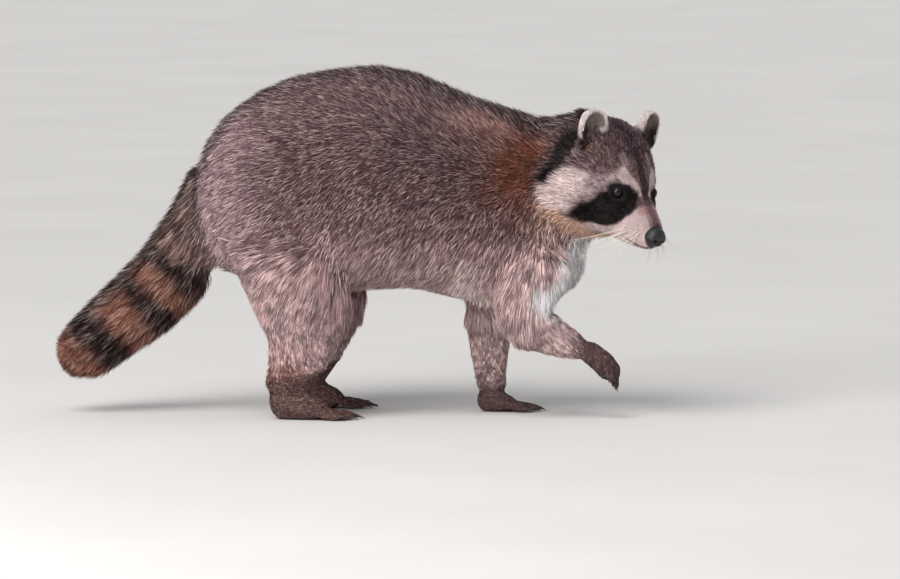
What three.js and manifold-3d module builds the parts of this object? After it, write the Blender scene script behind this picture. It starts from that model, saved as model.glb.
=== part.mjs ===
// A life-size walking raccoon, as a museum shows it: three feet on the ground, the right forepaw lifted, the head
// turned to its right and the ringed tail hanging behind. Millimetres, +X the way it walks, +Y its left, +Z up.
// Every solid is the outside of the coat, to the tips of the hair. The body is lofted whole, limb by limb, and then
// parted with thin cuts into the pieces that a person would name. The origin is on the ground under the middle.
import * as THREE from "three";
import { mergeVertices } from "three/addons/utils/BufferGeometryUtils.js";
import Module from "manifold-3d";

const wasm = await Module();
wasm.setup();

// ---------------------------------------------------------------- driving sizes

const GAP = 0.4; // width of every thin cut between two pieces
const FAR = 1500; // half-size of a box that stands for "everything on this side"
const GROUND = 0; // level of the soles

const HEAD = {
  eyes: [291, -74, 239], // the point midway between the eyes
  turn: 55, // degrees to its right of the walking direction
  nod: 26, // degrees down
  tilt: 4, // degrees, the left side lower
};
const EYE = { radius: 8.2, apart: 42, forward: -5, up: 0, opening: 7.4 };
const EAR = { height: 37, width: 35, root: [-56, 34.5, 30] };
const NOSE = { forward: 52.5, up: -22, half: [9, 10.5, 10.5] };
const HIND_STEP = 14; // how far the left hind foot stands ahead of the right one

// ---------------------------------------------------------------- solids

const mix = (a, b, t) => a + (b - a) * t;
const radians = THREE.MathUtils.degToRad;

function toSolid(geometry) {
  const bare = geometry.index ? geometry.toNonIndexed() : geometry.clone();
  const positions = new THREE.BufferGeometry().setAttribute("position", bare.getAttribute("position"));
  const merged = mergeVertices(positions, 1e-4);
  return new wasm.Manifold(
    new wasm.Mesh({
      numProp: 3,
      vertProperties: new Float32Array(merged.attributes.position.array),
      triVerts: new Uint32Array(merged.index.array),
    }),
  );
}

function toMesh(name, solid, material) {
  const { vertProperties, triVerts, numProp } = solid.getMesh();
  const count = vertProperties.length / numProp;
  const points = new Float32Array(count * 3);
  for (let i = 0; i < count; i++) points.set(vertProperties.subarray(i * numProp, i * numProp + 3), i * 3);
  const geometry = new THREE.BufferGeometry()
    .setAttribute("position", new THREE.BufferAttribute(points, 3))
    .setIndex(new THREE.BufferAttribute(new Uint32Array(triVerts), 1));
  geometry.computeVertexNormals();
  const mesh = new THREE.Mesh(geometry, material);
  mesh.name = name;
  return mesh;
}

// The biggest piece of a solid: a cut can leave crumbs where two curved surfaces cross.
const biggest = (solid) => solid.decompose().sort((a, b) => b.volume() - a.volume())[0];

const join = (solids) => solids.reduce((whole, solid) => whole.add(solid));

// Everything on one side of a plane, as a box whose near face stands off the plane by half a cut.
function side(point, normal) {
  const box = new THREE.BoxGeometry(2 * FAR, 2 * FAR, 2 * FAR).translate(0, 0, FAR + GAP / 2);
  const turn = new THREE.Quaternion().setFromUnitVectors(new THREE.Vector3(0, 0, 1), normal);
  return toSolid(box.applyQuaternion(turn).translate(...point));
}

// Parts a solid at planes that follow one another along it: [[point, normal], ...]. Gives one piece more than planes.
function part(solid, planes) {
  const pieces = [];
  let rest = solid;
  for (const [point, direction] of planes) {
    const normal = new THREE.Vector3(...direction).normalize();
    pieces.push(biggest(rest.intersect(side(point, normal.clone().negate()))));
    rest = rest.intersect(side(point, normal));
  }
  return [...pieces, biggest(rest)];
}

// A smooth closed skin through sections. Each station is { at: [x, y, z], across, up, down }: the section's centre and
// its reach sideways, upwards and downwards. The sections stand square to the line of centres, or to `facing` where
// that is given. `over` is the direction that counts as up. `ends` is the share of the length that rounds off at
// each end, and `square` is 1 for an ellipse and less for a boxier section.
function loft(stations, { rings, sides, over = [0, 0, 1], facing = null, ends = [0.12, 0.12], square = 1, grow = 0 }) {
  const centres = new THREE.CatmullRomCurve3(
    stations.map((s) => new THREE.Vector3(...s.at)),
    false,
    "catmullrom",
  );
  const reaches = new THREE.CatmullRomCurve3(
    stations.map((s) => new THREE.Vector3(s.across, s.up, s.down ?? s.up)),
    false,
    "catmullrom",
  );
  const geometry = new THREE.SphereGeometry(1, sides, rings);
  const { position, uv } = geometry.attributes;
  const upwards = new THREE.Vector3(...over);
  const bulge = (c) => Math.sign(c) * Math.abs(c) ** square;
  const roundOff = (t, share) => Math.sqrt(Math.max(0, 1 - (1 - Math.min(1, t / share)) ** 2));
  for (let i = 0; i < position.count; i++) {
    const ring = Math.round((1 - uv.getY(i)) * rings);
    const t = (1 - Math.cos((Math.PI * ring) / rings)) / 2;
    const pole = ring === 0 || ring === rings;
    const angle = pole ? 0 : 2 * Math.PI * (Math.round(uv.getX(i) * sides) % sides) / sides;
    const along = facing ? new THREE.Vector3(...facing) : centres.getTangent(t);
    const sideways = new THREE.Vector3().crossVectors(upwards, along).normalize();
    const up = new THREE.Vector3().crossVectors(along, sideways).normalize();
    const reach = reaches.getPoint(t);
    const full = pole ? 0 : roundOff(t, ends[0]) * roundOff(1 - t, ends[1]);
    const rise = bulge(Math.cos(angle));
    const width = bulge(Math.sin(angle)) * (reach.x * full + grow);
    const height = rise * ((rise > 0 ? reach.y : reach.z) * full + grow);
    const at = centres.getPoint(t).addScaledVector(sideways, pole ? 0 : width).addScaledVector(up, pole ? 0 : height);
    if (pole) at.addScaledVector(along, ring === 0 ? -grow : grow);
    position.setXYZ(i, at.x, at.y, at.z);
  }
  return toSolid(geometry);
}

const ball = (centre, half, sides = 20, turn = new THREE.Quaternion()) =>
  toSolid(
    new THREE.SphereGeometry(1, sides, Math.round(sides * 0.7))
      .scale(...half)
      .applyQuaternion(turn)
      .translate(...centre),
  );

// ---------------------------------------------------------------- trunk

// [x, top of the back, belly, level of the widest point, half-width]
const TRUNK = [
  [-178, 262, 196, 232, 40],
  [-150, 309, 160, 226, 80],
  [-115, 339, 142, 222, 95],
  [-70, 360, 130, 220, 105],
  [-15, 370, 128, 215, 110],
  [40, 371, 136, 216, 106],
  [80, 356, 130, 220, 98],
  [115, 341, 122, 222, 91],
  [155, 328, 116, 216, 77],
  [195, 316, 116, 206, 61],
  [228, 298, 138, 202, 46],
  [246, 270, 168, 204, 30],
];

// [x, top, bottom, level of the widest point, half-width], in the frame of the loft's owner
const fromProfile = ([x, top, bottom, wide, half]) => ({
  at: [x, 0, wide],
  across: half,
  up: top - wide,
  down: wide - bottom,
});

const trunkLoft = (grow = 0) =>
  loft(TRUNK.map(fromProfile), { rings: 20, sides: 22, facing: [1, 0, 0], ends: [0.05, 0.05], grow });

// ---------------------------------------------------------------- head and neck

// The head's own frame has its origin midway between the eyes, +X to the nose, +Y to its left, +Z to the crown.
const headFrame = new THREE.Matrix4().compose(
  new THREE.Vector3(...HEAD.eyes),
  new THREE.Quaternion().setFromEuler(new THREE.Euler(radians(-HEAD.tilt), radians(HEAD.nod), radians(-HEAD.turn), "ZYX")),
  new THREE.Vector3(1, 1, 1),
);
const placed = (solid) => solid.transform(headFrame.elements);
const headPoint = (x, y, z) => new THREE.Vector3(x, y, z).applyMatrix4(headFrame).toArray();
const headAxis = (x, y, z) => new THREE.Vector3(x, y, z).transformDirection(headFrame);

// The skull, the ruff of long hair that stands out from the cheeks, and the muzzle.
const SKULL = [
  [-112, 30, -42, -6, 44],
  [-94, 44, -52, -8, 55],
  [-74, 50, -58, -8, 57],
  [-54, 50, -60, -10, 55],
  [-36, 45, -60, -13, 49],
  [-20, 38, -58, -17, 41],
  [-6, 27, -54, -19, 34],
  [7, 17, -50, -19, 27],
  [20, 8, -46, -20, 20],
];
const RUFF = [
  [-96, -6, -60, -30, 52],
  [-86, 10, -73, -31, 69],
  [-72, 18, -79, -32, 75],
  [-54, 12, -75, -31, 70],
  [-36, 3, -67, -29, 58],
  [-20, -6, -57, -28, 44],
  [-6, -14, -46, -28, 28],
];
const MUZZLE = [
  [-20, 24, -52, -22, 26],
  [-2, 18, -54, -22, 24.5],
  [12, 9, -52, -24, 21.5],
  [26, 1, -48, -25, 19],
  [39, -5, -43, -26, 16.5],
  [49, -11, -39, -26, 13],
  [55, -16, -34, -25, 9],
];

// Two hands: +1 is its left, -1 its right.
const HANDS = { left: 1, right: -1 };
const eyeAt = (hand) => [EYE.forward, (hand * EYE.apart) / 2, EYE.up];

// Room for an eyeball, with the opening between the lids in front of it.
function eyeSocket(hand) {
  const gaze = new THREE.Vector3(0.72, hand * 0.66, 0.2).normalize();
  const turn = new THREE.Quaternion().setFromUnitVectors(new THREE.Vector3(0, 0, 1), gaze);
  const room = EYE.radius + GAP;
  const opening = new THREE.CylinderGeometry(EYE.opening + 9, EYE.opening, 30, 12)
    .rotateX(Math.PI / 2)
    .translate(0, 0, 15 + EYE.radius * 0.35)
    .applyQuaternion(turn)
    .translate(...eyeAt(hand));
  return ball(eyeAt(hand), [room, room, room], 10).add(toSolid(opening));
}

const headOptions = { facing: [1, 0, 0], ends: [0.1, 0.12], square: 0.94 };

function headWhole(grow = 0) {
  const skull = loft(SKULL.map(fromProfile), { ...headOptions, rings: 14, sides: 20, grow });
  const ruff = loft(RUFF.map(fromProfile), { ...headOptions, rings: 12, sides: 20, grow });
  const muzzle = loft(MUZZLE.map(fromProfile), { ...headOptions, rings: 12, sides: 16, grow });
  return join([skull, ruff, muzzle]);
}

// The neck bends sideways out of the chest and ends inside the head.
const NECK = [
  { at: [150, 0, 228], across: 66, up: 88, down: 90 },
  { at: [188, 3, 240], across: 62, up: 85, down: 86 },
  { at: [218, 4, 254], across: 58, up: 73, down: 76 },
  { at: headPoint(-88, 0, -5), across: 56, up: 53, down: 56 },
  { at: headPoint(-58, 0, -8), across: 44, up: 38, down: 44 },
];
const neckLoft = (grow = 0) => loft(NECK, { rings: 9, sides: 20, ends: [0.2, 0.16], grow });

const noseBall = (grow) => ball([NOSE.forward, 0, NOSE.up], NOSE.half.map((h) => h + grow), 12);

// A cupped ear. Its own frame has +Z up the ear and +X out of its opening.
const EAR_SHELL = [
  { at: [0, 0, -12], across: 0.38, up: 8 },
  { at: [0, 0, 6], across: 0.47, up: 9 },
  { at: [0, 0, 20], across: 0.5, up: 7.5 },
  { at: [-1, 0, 31], across: 0.42, up: 5.5 },
  { at: [-2, 0, EAR.height], across: 0.26, up: 4 },
];

function ear(hand) {
  const stations = EAR_SHELL.map(({ at, across, up }) => ({ at, across: across * EAR.width, up }));
  const shell = loft(stations, { rings: 8, sides: 12, over: [1, 0, 0], facing: [0, 0, 1], ends: [0.1, 0.14] });
  const hollow = ball([9, 0, 15], [11.5, EAR.width / 2 - 4, 21], 12);
  const axis = new THREE.Vector3(-0.2, hand * 0.1, 0.97).normalize();
  const sideways = new THREE.Vector3().crossVectors(axis, new THREE.Vector3(0.96, hand * 0.2, 0)).normalize();
  const frame = new THREE.Matrix4()
    .makeBasis(new THREE.Vector3().crossVectors(sideways, axis), sideways, axis)
    .setPosition(EAR.root[0], hand * EAR.root[1], EAR.root[2]);
  return shell.subtract(hollow).transform(frame.elements);
}

// ---------------------------------------------------------------- legs and feet

// A digit with its claw: a tapering finger from knuckle to tip and a short hook beyond it.
function digit(knuckle, tip, thick) {
  const from = new THREE.Vector3(...knuckle);
  const along = new THREE.Vector3(...tip).sub(from);
  const station = (t, across, up, sink = 0) => ({
    at: from.clone().addScaledVector(along, t).add(new THREE.Vector3(0, 0, -sink)).toArray(),
    across,
    up,
  });
  const finger = [station(-0.15, thick, thick), station(0.4, thick * 0.95, thick), station(0.86, thick * 0.85, thick * 0.8)];
  const claw = [station(1.05, 1.7, 2, 0.3), station(1.3, 0.7, 0.8, 2.4)];
  return loft([...finger, ...claw], { rings: 6, sides: 6, ends: [0.2, 0.1] });
}

// The digits fan out from a foot's front. Each has its own reach, the middle ones the longest.
const REACH = [0.72, 0.94, 1, 0.93, 0.7];

function digits({ knuckles, forward, out, spread, length, thick, drop }) {
  return REACH.map((reach, i) => {
    const place = i / (REACH.length - 1) - 0.5; // -0.5 to 0.5 across the foot
    const knuckle = knuckles
      .clone()
      .addScaledVector(out, place * spread)
      .addScaledVector(forward, -Math.abs(place) * spread * 0.3);
    const heading = forward.clone().addScaledVector(out, place * 0.75).normalize();
    const tip = knuckle.clone().addScaledVector(heading, length * reach).add(drop);
    return digit(knuckle.toArray(), tip.toArray(), thick);
  });
}

const ahead = new THREE.Vector3(1, 0, 0);
const aboveGround = side([0, 0, GROUND - GAP / 2], new THREE.Vector3(0, 0, 1));

// Stations of an upright limb, and of a sole or a bent limb, from rows of plain numbers.
const column = (rows, shift, hand) =>
  rows.map(([x, y, z, length, width]) => ({ at: [x + shift, hand * y, z], across: width, up: length }));
const slipper = (rows, shift, hand) =>
  rows.map(([x, y, z, across, up, down]) => ({ at: [x + shift, hand * y, z], across, up, down }));
const bent = (rows) => rows.map(([x, y, z, up, across]) => ({ at: [x, y, z], across, up }));
const UPRIGHT = { over: [1, 0, 0], facing: [0, 0, -1], sides: 14 };

// A hind leg hangs from the rump as one column of fur: [x, y, z, half-length fore and aft, half-width].
const HIND_LEG = [
  [-86, 62, 218, 62, 42],
  [-77, 69, 188, 65, 47],
  [-67, 70, 157, 61, 43],
  [-60, 69, 128, 54, 38],
  [-57, 66, 102, 46, 31],
  [-59, 63, 78, 38, 25.5],
  [-66, 60, 56, 32, 21.5],
  [-73, 58, 38, 27, 18.5],
  [-75, 57, 22, 22, 15],
];
const HIND_FOOT = [
  [-96, 57, 19, 14, 18, 19],
  [-82, 57, 19, 17, 20, 20],
  [-64, 58, 15, 18, 16, 17],
  [-46, 59, 11, 20, 13, 13],
  [-30, 60, 8, 20, 10, 10],
];

function hindLeg(hand, shift) {
  const leg = loft(column(HIND_LEG, shift, hand), { ...UPRIGHT, rings: 13, ends: [0.14, 0.1] });
  const sole = loft(slipper(HIND_FOOT, shift, hand), { rings: 7, sides: 10, ends: [0.25, 0.3] });
  const toes = digits({
    knuckles: new THREE.Vector3(-31 + shift, hand * 60, 7),
    forward: ahead,
    out: new THREE.Vector3(0, hand, 0),
    spread: 34,
    length: 27,
    thick: 5,
    drop: new THREE.Vector3(0, 0, -2.6),
  });
  const whole = join([leg, sole, ...toes]).intersect(aboveGround);
  return part(whole, [
    [[-60 + shift, hand * 68, 118], [-0.1, 0, -1]],
    [[-70 + shift, hand * 60, 47], [0.25, 0, -1]],
  ]);
}

// The left foreleg stands under the chest, close to the middle line: [x, y, z, half-length, half-width].
const STANDING_LEG = [
  [186, 44, 196, 36, 26],
  [168, 44, 165, 38, 29],
  [151, 40, 135, 35, 29],
  [141, 35, 108, 29, 25],
  [138, 30, 82, 24, 21],
  [138, 27, 56, 20, 18],
  [139, 25, 34, 17, 16],
  [141, 24, 18, 14, 14.5],
];
const STANDING_FOOT = [
  [124, 24, 12, 12, 12, 13],
  [138, 24, 12, 16, 14, 14],
  [154, 24, 9, 18, 10, 11],
  [168, 24, 7, 17, 8, 9],
];

function standingForeleg() {
  const leg = loft(column(STANDING_LEG, 0, 1), { ...UPRIGHT, rings: 12, ends: [0.1, 0.08] });
  const sole = loft(slipper(STANDING_FOOT, 0, 1), { rings: 7, sides: 10, ends: [0.25, 0.3] });
  const toes = digits({
    knuckles: new THREE.Vector3(164, 24, 7),
    forward: ahead,
    out: new THREE.Vector3(0, 1, 0),
    spread: 29,
    length: 26,
    thick: 4.6,
    drop: new THREE.Vector3(0, 0, -2.8),
  });
  const whole = join([leg, sole, ...toes]).intersect(aboveGround);
  return part(whole, [
    [[141, 35, 112], [-0.1, 0, -1]],
    [[139, 25, 30], [0.1, 0, -1]],
  ]);
}

// The right foreleg reaches forward with its wrist bent and the paw hanging: [x, y, z, half-height, half-width].
const LIFTED_LEG = [
  [196, -42, 190, 36, 25],
  [184, -52, 158, 38, 28],
  [175, -58, 128, 34, 28],
  [181, -62, 105, 29, 26],
  [199, -64, 91, 23, 22],
  [218, -64, 82, 17.5, 17],
  [238, -63, 74, 12.5, 13.5],
];
const HANGING_PAW = [
  [228, -63, 78, 12, 13],
  [243, -63, 71, 12.5, 13.5],
  [257, -63, 60, 13, 13.5],
  [266, -63, 49, 12.5, 12.5],
  [271, -63, 40, 9, 11],
];

function liftedForeleg() {
  const leg = loft(bent(LIFTED_LEG), { rings: 13, sides: 14, over: [1, 0, 1], ends: [0.08, 0.1] });
  const palm = loft(bent(HANGING_PAW), { rings: 6, sides: 10, over: [1, 0, 1], ends: [0.2, 0.35] });
  const fingers = digits({
    knuckles: new THREE.Vector3(265, -63, 52),
    forward: new THREE.Vector3(0.45, 0, -1).normalize(),
    out: new THREE.Vector3(0.18, 1, 0).normalize(),
    spread: 20,
    length: 19,
    thick: 5.2,
    drop: new THREE.Vector3(-1, 0, 0),
  });
  return part(join([leg, palm, ...fingers]), [
    [[180, -60, 112], [0.75, 0, -0.66]],
    [[233, -63, 77], [0.85, 0, -0.5]],
  ]);
}

// ---------------------------------------------------------------- tail

// [x, y, z, half-width across the hang]
const TAIL = [
  [-128, 0, 276, 38],
  [-150, 0, 240, 40],
  [-167, 1, 208, 38],
  [-181, 2, 180, 42.5],
  [-199, 4, 150, 44],
  [-223, 6, 125, 43.5],
  [-249, 8, 103, 41],
  [-275, 9, 82, 38],
  [-297, 9, 60, 35],
  [-313, 9, 42, 28],
];

function tailWhole() {
  const stations = TAIL.map(([x, y, z, half]) => ({ at: [x, y, z], across: half * 0.94, up: half }));
  return loft(stations, { rings: 15, sides: 16, over: [-1, 0, 1], ends: [0.12, 0.16] });
}

// ---------------------------------------------------------------- the animal

const coat = (color) => new THREE.MeshStandardMaterial({ color, roughness: 0.9, metalness: 0 });
const FUR = {
  grizzled: coat(0x78645f),
  pale: coat(0x94807b),
  face: coat(0xb3a09a),
  ear: coat(0xd2cac6),
  paw: coat(0x5a4844),
  tail: coat(0x6b4e45),
};
const EYE_GLOSS = new THREE.MeshStandardMaterial({ color: 0x0c0908, roughness: 0.08, metalness: 0 });
const NOSE_SKIN = new THREE.MeshStandardMaterial({ color: 0x1c191c, roughness: 0.42, metalness: 0 });

const raccoon = new THREE.Group();
const add = (name, solid, material) => raccoon.add(toMesh(name, biggest(solid), material));

// The head ends at a plane behind the ears and cheeks, and everything else makes room for it.
const HEAD_END = -88;
const nape = (back = 0) => side(headPoint(HEAD_END - back, 0, 0), headAxis(1, 0, 0.12));
const headSolid = placed(headWhole()).intersect(nape());
const headRoom = placed(headWhole(GAP)).intersect(nape(GAP));

const noseRoom = placed(noseBall(GAP));
const sockets = join(Object.values(HANDS).map((hand) => placed(eyeSocket(hand))));
add("head", headSolid.subtract(noseRoom).subtract(sockets), FUR.face);
add("nose", placed(noseBall(0)), NOSE_SKIN);
for (const [name, hand] of Object.entries(HANDS)) {
  add(`eye_${name}`, placed(ball(eyeAt(hand), [EYE.radius, EYE.radius, EYE.radius], 10)), EYE_GLOSS);
  add(`ear_${name}`, placed(ear(hand)).subtract(headRoom), FUR.ear);
}

const core = trunkLoft().add(neckLoft()).subtract(headRoom);
const coreRoom = join([trunkLoft(GAP), neckLoft(GAP), headRoom]);
const corePieces = part(core, [
  [[-62, 0, 250], [1, 0, 0]],
  [[92, 0, 250], [1, 0, -0.12]],
  [[212, 0, 300], [0.9, 0, 0.43]],
]);
["trunk_rump", "trunk_belly", "trunk_chest", "neck"].forEach((name, i) => add(name, corePieces[i], FUR.grizzled));

const legs = {
  foreleg_left: standingForeleg(),
  foreleg_right: liftedForeleg(),
  hindleg_left: hindLeg(HANDS.left, HIND_STEP),
  hindleg_right: hindLeg(HANDS.right, 0),
};
for (const [name, [upper, lower, paw]] of Object.entries(legs)) {
  add(`${name}_upper`, upper.subtract(coreRoom), FUR.grizzled);
  add(`${name}_lower`, lower.subtract(coreRoom), FUR.pale);
  add(`${name}_paw`, paw, FUR.paw);
}

const tailPieces = part(tailWhole().subtract(coreRoom), [
  [[-197, 3, 155], [-0.5, 0, -0.86]],
  [[-251, 8, 101], [-0.72, 0, -0.7]],
]);
["tail_root", "tail_middle", "tail_tip"].forEach((name, i) => add(name, tailPieces[i], FUR.tail));

// The origin goes to the ground under the middle of the whole.
const middle = new THREE.Box3().setFromObject(raccoon).getCenter(new THREE.Vector3());
raccoon.children.forEach((mesh) => mesh.geometry.translate(-middle.x, -middle.y, 0));

export default raccoon;
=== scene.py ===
import math

import bpy
import numpy as np
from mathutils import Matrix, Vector
from mathutils.bvhtree import BVHTree
from mathutils.kdtree import KDTree


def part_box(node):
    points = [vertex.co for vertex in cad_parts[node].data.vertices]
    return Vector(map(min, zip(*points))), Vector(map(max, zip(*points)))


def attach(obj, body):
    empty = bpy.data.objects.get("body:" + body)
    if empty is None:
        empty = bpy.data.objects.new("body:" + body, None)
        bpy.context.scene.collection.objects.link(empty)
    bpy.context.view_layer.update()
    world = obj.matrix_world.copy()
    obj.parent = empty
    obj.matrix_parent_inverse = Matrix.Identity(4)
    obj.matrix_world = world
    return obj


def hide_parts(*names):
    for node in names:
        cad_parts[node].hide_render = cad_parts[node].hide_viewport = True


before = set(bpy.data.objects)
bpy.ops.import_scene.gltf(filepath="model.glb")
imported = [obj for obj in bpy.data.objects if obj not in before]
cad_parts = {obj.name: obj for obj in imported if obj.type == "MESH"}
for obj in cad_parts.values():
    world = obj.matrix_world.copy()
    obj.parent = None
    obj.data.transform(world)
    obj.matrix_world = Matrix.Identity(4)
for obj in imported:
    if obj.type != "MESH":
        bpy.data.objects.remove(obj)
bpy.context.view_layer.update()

MM = 0.001
SEED = 20
HANDS = {"left": 1, "right": -1}
BETWEEN_LEGS = -22  # y of the plane that parts the left legs from the right ones
COAT_SHARE = 1.0  # share of the tufts made


# ---------------------------------------------------------------- small tools

def ease(a, b, x):
    """0 at a, 1 at b, smooth between; a may be the larger."""
    t = np.clip((x - a) / (b - a), 0, 1)
    return t * t * (3 - 2 * t)


def mix(a, b, t):
    return a + (b - a) * t


def unit(v):
    return v / np.maximum(np.linalg.norm(v, axis=-1, keepdims=True), 1e-9)


def dot(a, b):
    return (a * b).sum(-1, keepdims=True)


def srgb(r, g, b):
    """A colour on the usual 0-255 scale, as linear light."""
    c = np.array([r, g, b]) / 255
    return np.where(c <= 0.04045, c / 12.92, ((c + 0.055) / 1.055) ** 2.4)


def ripple(points, size, seed=0):
    """Smooth noise from -1 to 1 whose lumps are about `size` millimetres."""
    at = points / size + 1000
    cell = np.floor(at).astype(np.int64)
    f = at - cell
    f = f * f * (3 - 2 * f)
    total = 0
    for i in (0, 1):
        for j in (0, 1):
            for k in (0, 1):
                c = cell + (i, j, k)
                h = c[:, 0] * 73856093 ^ c[:, 1] * 19349663 ^ c[:, 2] * 83492791 ^ (seed + 1) * 2654435761
                h = (h ^ (h >> 13)) * 1274126177
                value = ((h ^ (h >> 16)) & 0xFFFF) / 32767.5 - 1
                weight = 1
                for axis, side in enumerate((i, j, k)):
                    weight = weight * (f[:, axis] if side else 1 - f[:, axis])
                total = total + value * weight
    return total


def within(outline, x, z, soft):
    """1 inside a drawn outline, 0 outside, smooth over `soft` each way."""
    near = np.full(x.shape, 1e9)
    inside = np.zeros(x.shape, bool)
    for (x0, z0), (x1, z1) in zip(outline, outline[1:] + outline[:1]):
        dx, dz = x1 - x0, z1 - z0
        t = np.clip(((x - x0) * dx + (z - z0) * dz) / (dx * dx + dz * dz), 0, 1)
        near = np.minimum(near, np.hypot(x - x0 - t * dx, z - z0 - t * dz))
        rise = dz if dz else 1e-9
        inside ^= ((z0 > z) != (z1 > z)) & (x < dx * (z - z0) / rise + x0)
    return ease(-soft, soft, np.where(inside, near, -near))


def make_mesh(name, points, faces, material, smooth=True, colours=None, numbers=None):
    """A new object from points in millimetres and faces that all have the same number of corners."""
    mesh = bpy.data.meshes.new(name)
    corners = faces.shape[1]
    mesh.vertices.add(len(points))
    mesh.vertices.foreach_set("co", (points * MM).astype(np.float32).ravel())
    mesh.loops.add(faces.size)
    mesh.loops.foreach_set("vertex_index", faces.astype(np.int32).ravel())
    mesh.polygons.add(len(faces))
    mesh.polygons.foreach_set("loop_start", np.arange(0, faces.size, corners, dtype=np.int32))
    mesh.update(calc_edges=True)
    mesh.polygons.foreach_set("use_smooth", np.full(len(faces), smooth))
    if colours is not None:
        layer = mesh.attributes.new("coat", "FLOAT_COLOR", "POINT")
        layer.data.foreach_set(
            "color", np.hstack([colours, np.ones((len(colours), 1))]).astype(np.float32).ravel())
    for key, values in (numbers or {}).items():
        mesh.attributes.new(key, "FLOAT", "POINT").data.foreach_set("value", values.astype(np.float32))
    mesh.materials.append(material)
    piece = bpy.data.objects.new(name, mesh)
    bpy.context.scene.collection.objects.link(piece)
    return piece


def arrays_of(mesh):
    """A mesh's points in millimetres and its triangles."""
    points = np.empty(len(mesh.vertices) * 3, np.float32)
    mesh.vertices.foreach_get("co", points)
    mesh.calc_loop_triangles()
    triangles = np.empty(len(mesh.loop_triangles) * 3, np.int32)
    mesh.loop_triangles.foreach_get("vertices", triangles)
    return points.reshape(-1, 3).astype(float) / MM, triangles.reshape(-1, 3).astype(np.int64)


# ---------------------------------------------------------------- where things are

def middle(node):
    low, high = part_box(node)
    return np.array(low + high) / 2 / MM


# The head's own frame: origin midway between the eyes, +X to the nose, +Y to its left, +Z to the crown.
EYE_RADIUS = 8.2
EYE_AT = (-5, 21, 0)
NOSE_AT = (52.5, 0, -22)
NOSE_HALF = (10.6, 11.8, 12)
NOSE_SHIFT = (-2.0, 0, -1.4)  # from the middle of the frame's nose to the middle of the pad
GAZE = (0.72, 0.66, 0.2)


def head_frame():
    """The head's origin, and its axes as the columns of a matrix, from where the eyes and nose are."""
    left, right, nose = middle("eye_left"), middle("eye_right"), middle("nose")
    across = unit(left - right)
    between = (left + right) / 2
    ahead = nose - between
    ahead = unit(ahead - dot(ahead, across) * across)
    up = np.cross(ahead, across)
    fall = math.atan2(NOSE_AT[2] - EYE_AT[2], NOSE_AT[0] - EYE_AT[0])
    forward = ahead * math.cos(fall) - up * math.sin(fall)
    crown = np.cross(forward, across)
    return between - EYE_AT[0] * forward, np.stack([forward, across, crown], 1)


HEAD_ORIGIN, HEAD_AXES = head_frame()


def to_head(points):
    return (points - HEAD_ORIGIN) @ HEAD_AXES


def from_head(points):
    return np.asarray(points, float) @ HEAD_AXES.T + HEAD_ORIGIN


def head_way(direction):
    return unit(np.asarray(direction, float) @ HEAD_AXES.T)


# The part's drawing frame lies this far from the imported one.
SHIFT = HEAD_ORIGIN - np.array([291, -74, 239])


# ---------------------------------------------------------------- triangle webs

class Web:
    """The edges of a triangle mesh, for averages over neighbours."""

    def __init__(self, triangles, count):
        pairs = np.sort(triangles[:, [0, 1, 1, 2, 2, 0]].reshape(-1, 2), axis=1)
        keys = np.unique(pairs[:, 0] * count + pairs[:, 1])
        self.a, self.b, self.count = keys // count, keys % count, count
        self.degree = np.bincount(self.a, minlength=count) + np.bincount(self.b, minlength=count)

    def mean(self, values):
        columns = values.reshape(self.count, -1)
        out = np.empty_like(columns, dtype=float)
        for k in range(columns.shape[1]):
            c = columns[:, k]
            total = np.bincount(self.a, c[self.b], self.count) + np.bincount(self.b, c[self.a], self.count)
            out[:, k] = total / np.maximum(self.degree, 1)
        return out.reshape(values.shape)

    def blur(self, values, times):
        for _ in range(times):
            values = 0.5 * values + 0.5 * self.mean(values)
        return values


def normals_of(points, triangles):
    a, b, c = points[triangles[:, 0]], points[triangles[:, 1]], points[triangles[:, 2]]
    face = np.cross(b - a, c - a)
    out = np.zeros_like(points)
    for corner in range(3):
        for axis in range(3):
            out[:, axis] += np.bincount(triangles[:, corner], face[:, axis], len(points))
    return unit(out)


def fair(points, web, times, share=1.0):
    """Smooths without shrinking: each step in is followed by a slightly longer step out."""
    share = np.broadcast_to(np.asarray(share, float).reshape(-1, 1), (len(points), 1))
    for _ in range(times):
        points = points + 0.5 * share * (web.mean(points) - points)
        points = points - 0.53 * share * (web.mean(points) - points)
    return points


def biggest_piece(points, triangles):
    """Drops everything that isn't joined to the largest connected part."""
    label = np.arange(len(points))
    pairs = triangles[:, [0, 1, 1, 2]].reshape(-1, 2)
    while True:
        low = np.minimum(label[pairs[:, 0]], label[pairs[:, 1]])
        new = label.copy()
        np.minimum.at(new, pairs[:, 0], low)
        np.minimum.at(new, pairs[:, 1], low)
        new = new[new]
        if np.array_equal(new, label):
            break
        label = new
    keep = label == np.bincount(label).argmax()
    number = np.cumsum(keep) - 1
    return points[keep], number[triangles[keep[triangles[:, 0]]]]


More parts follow.
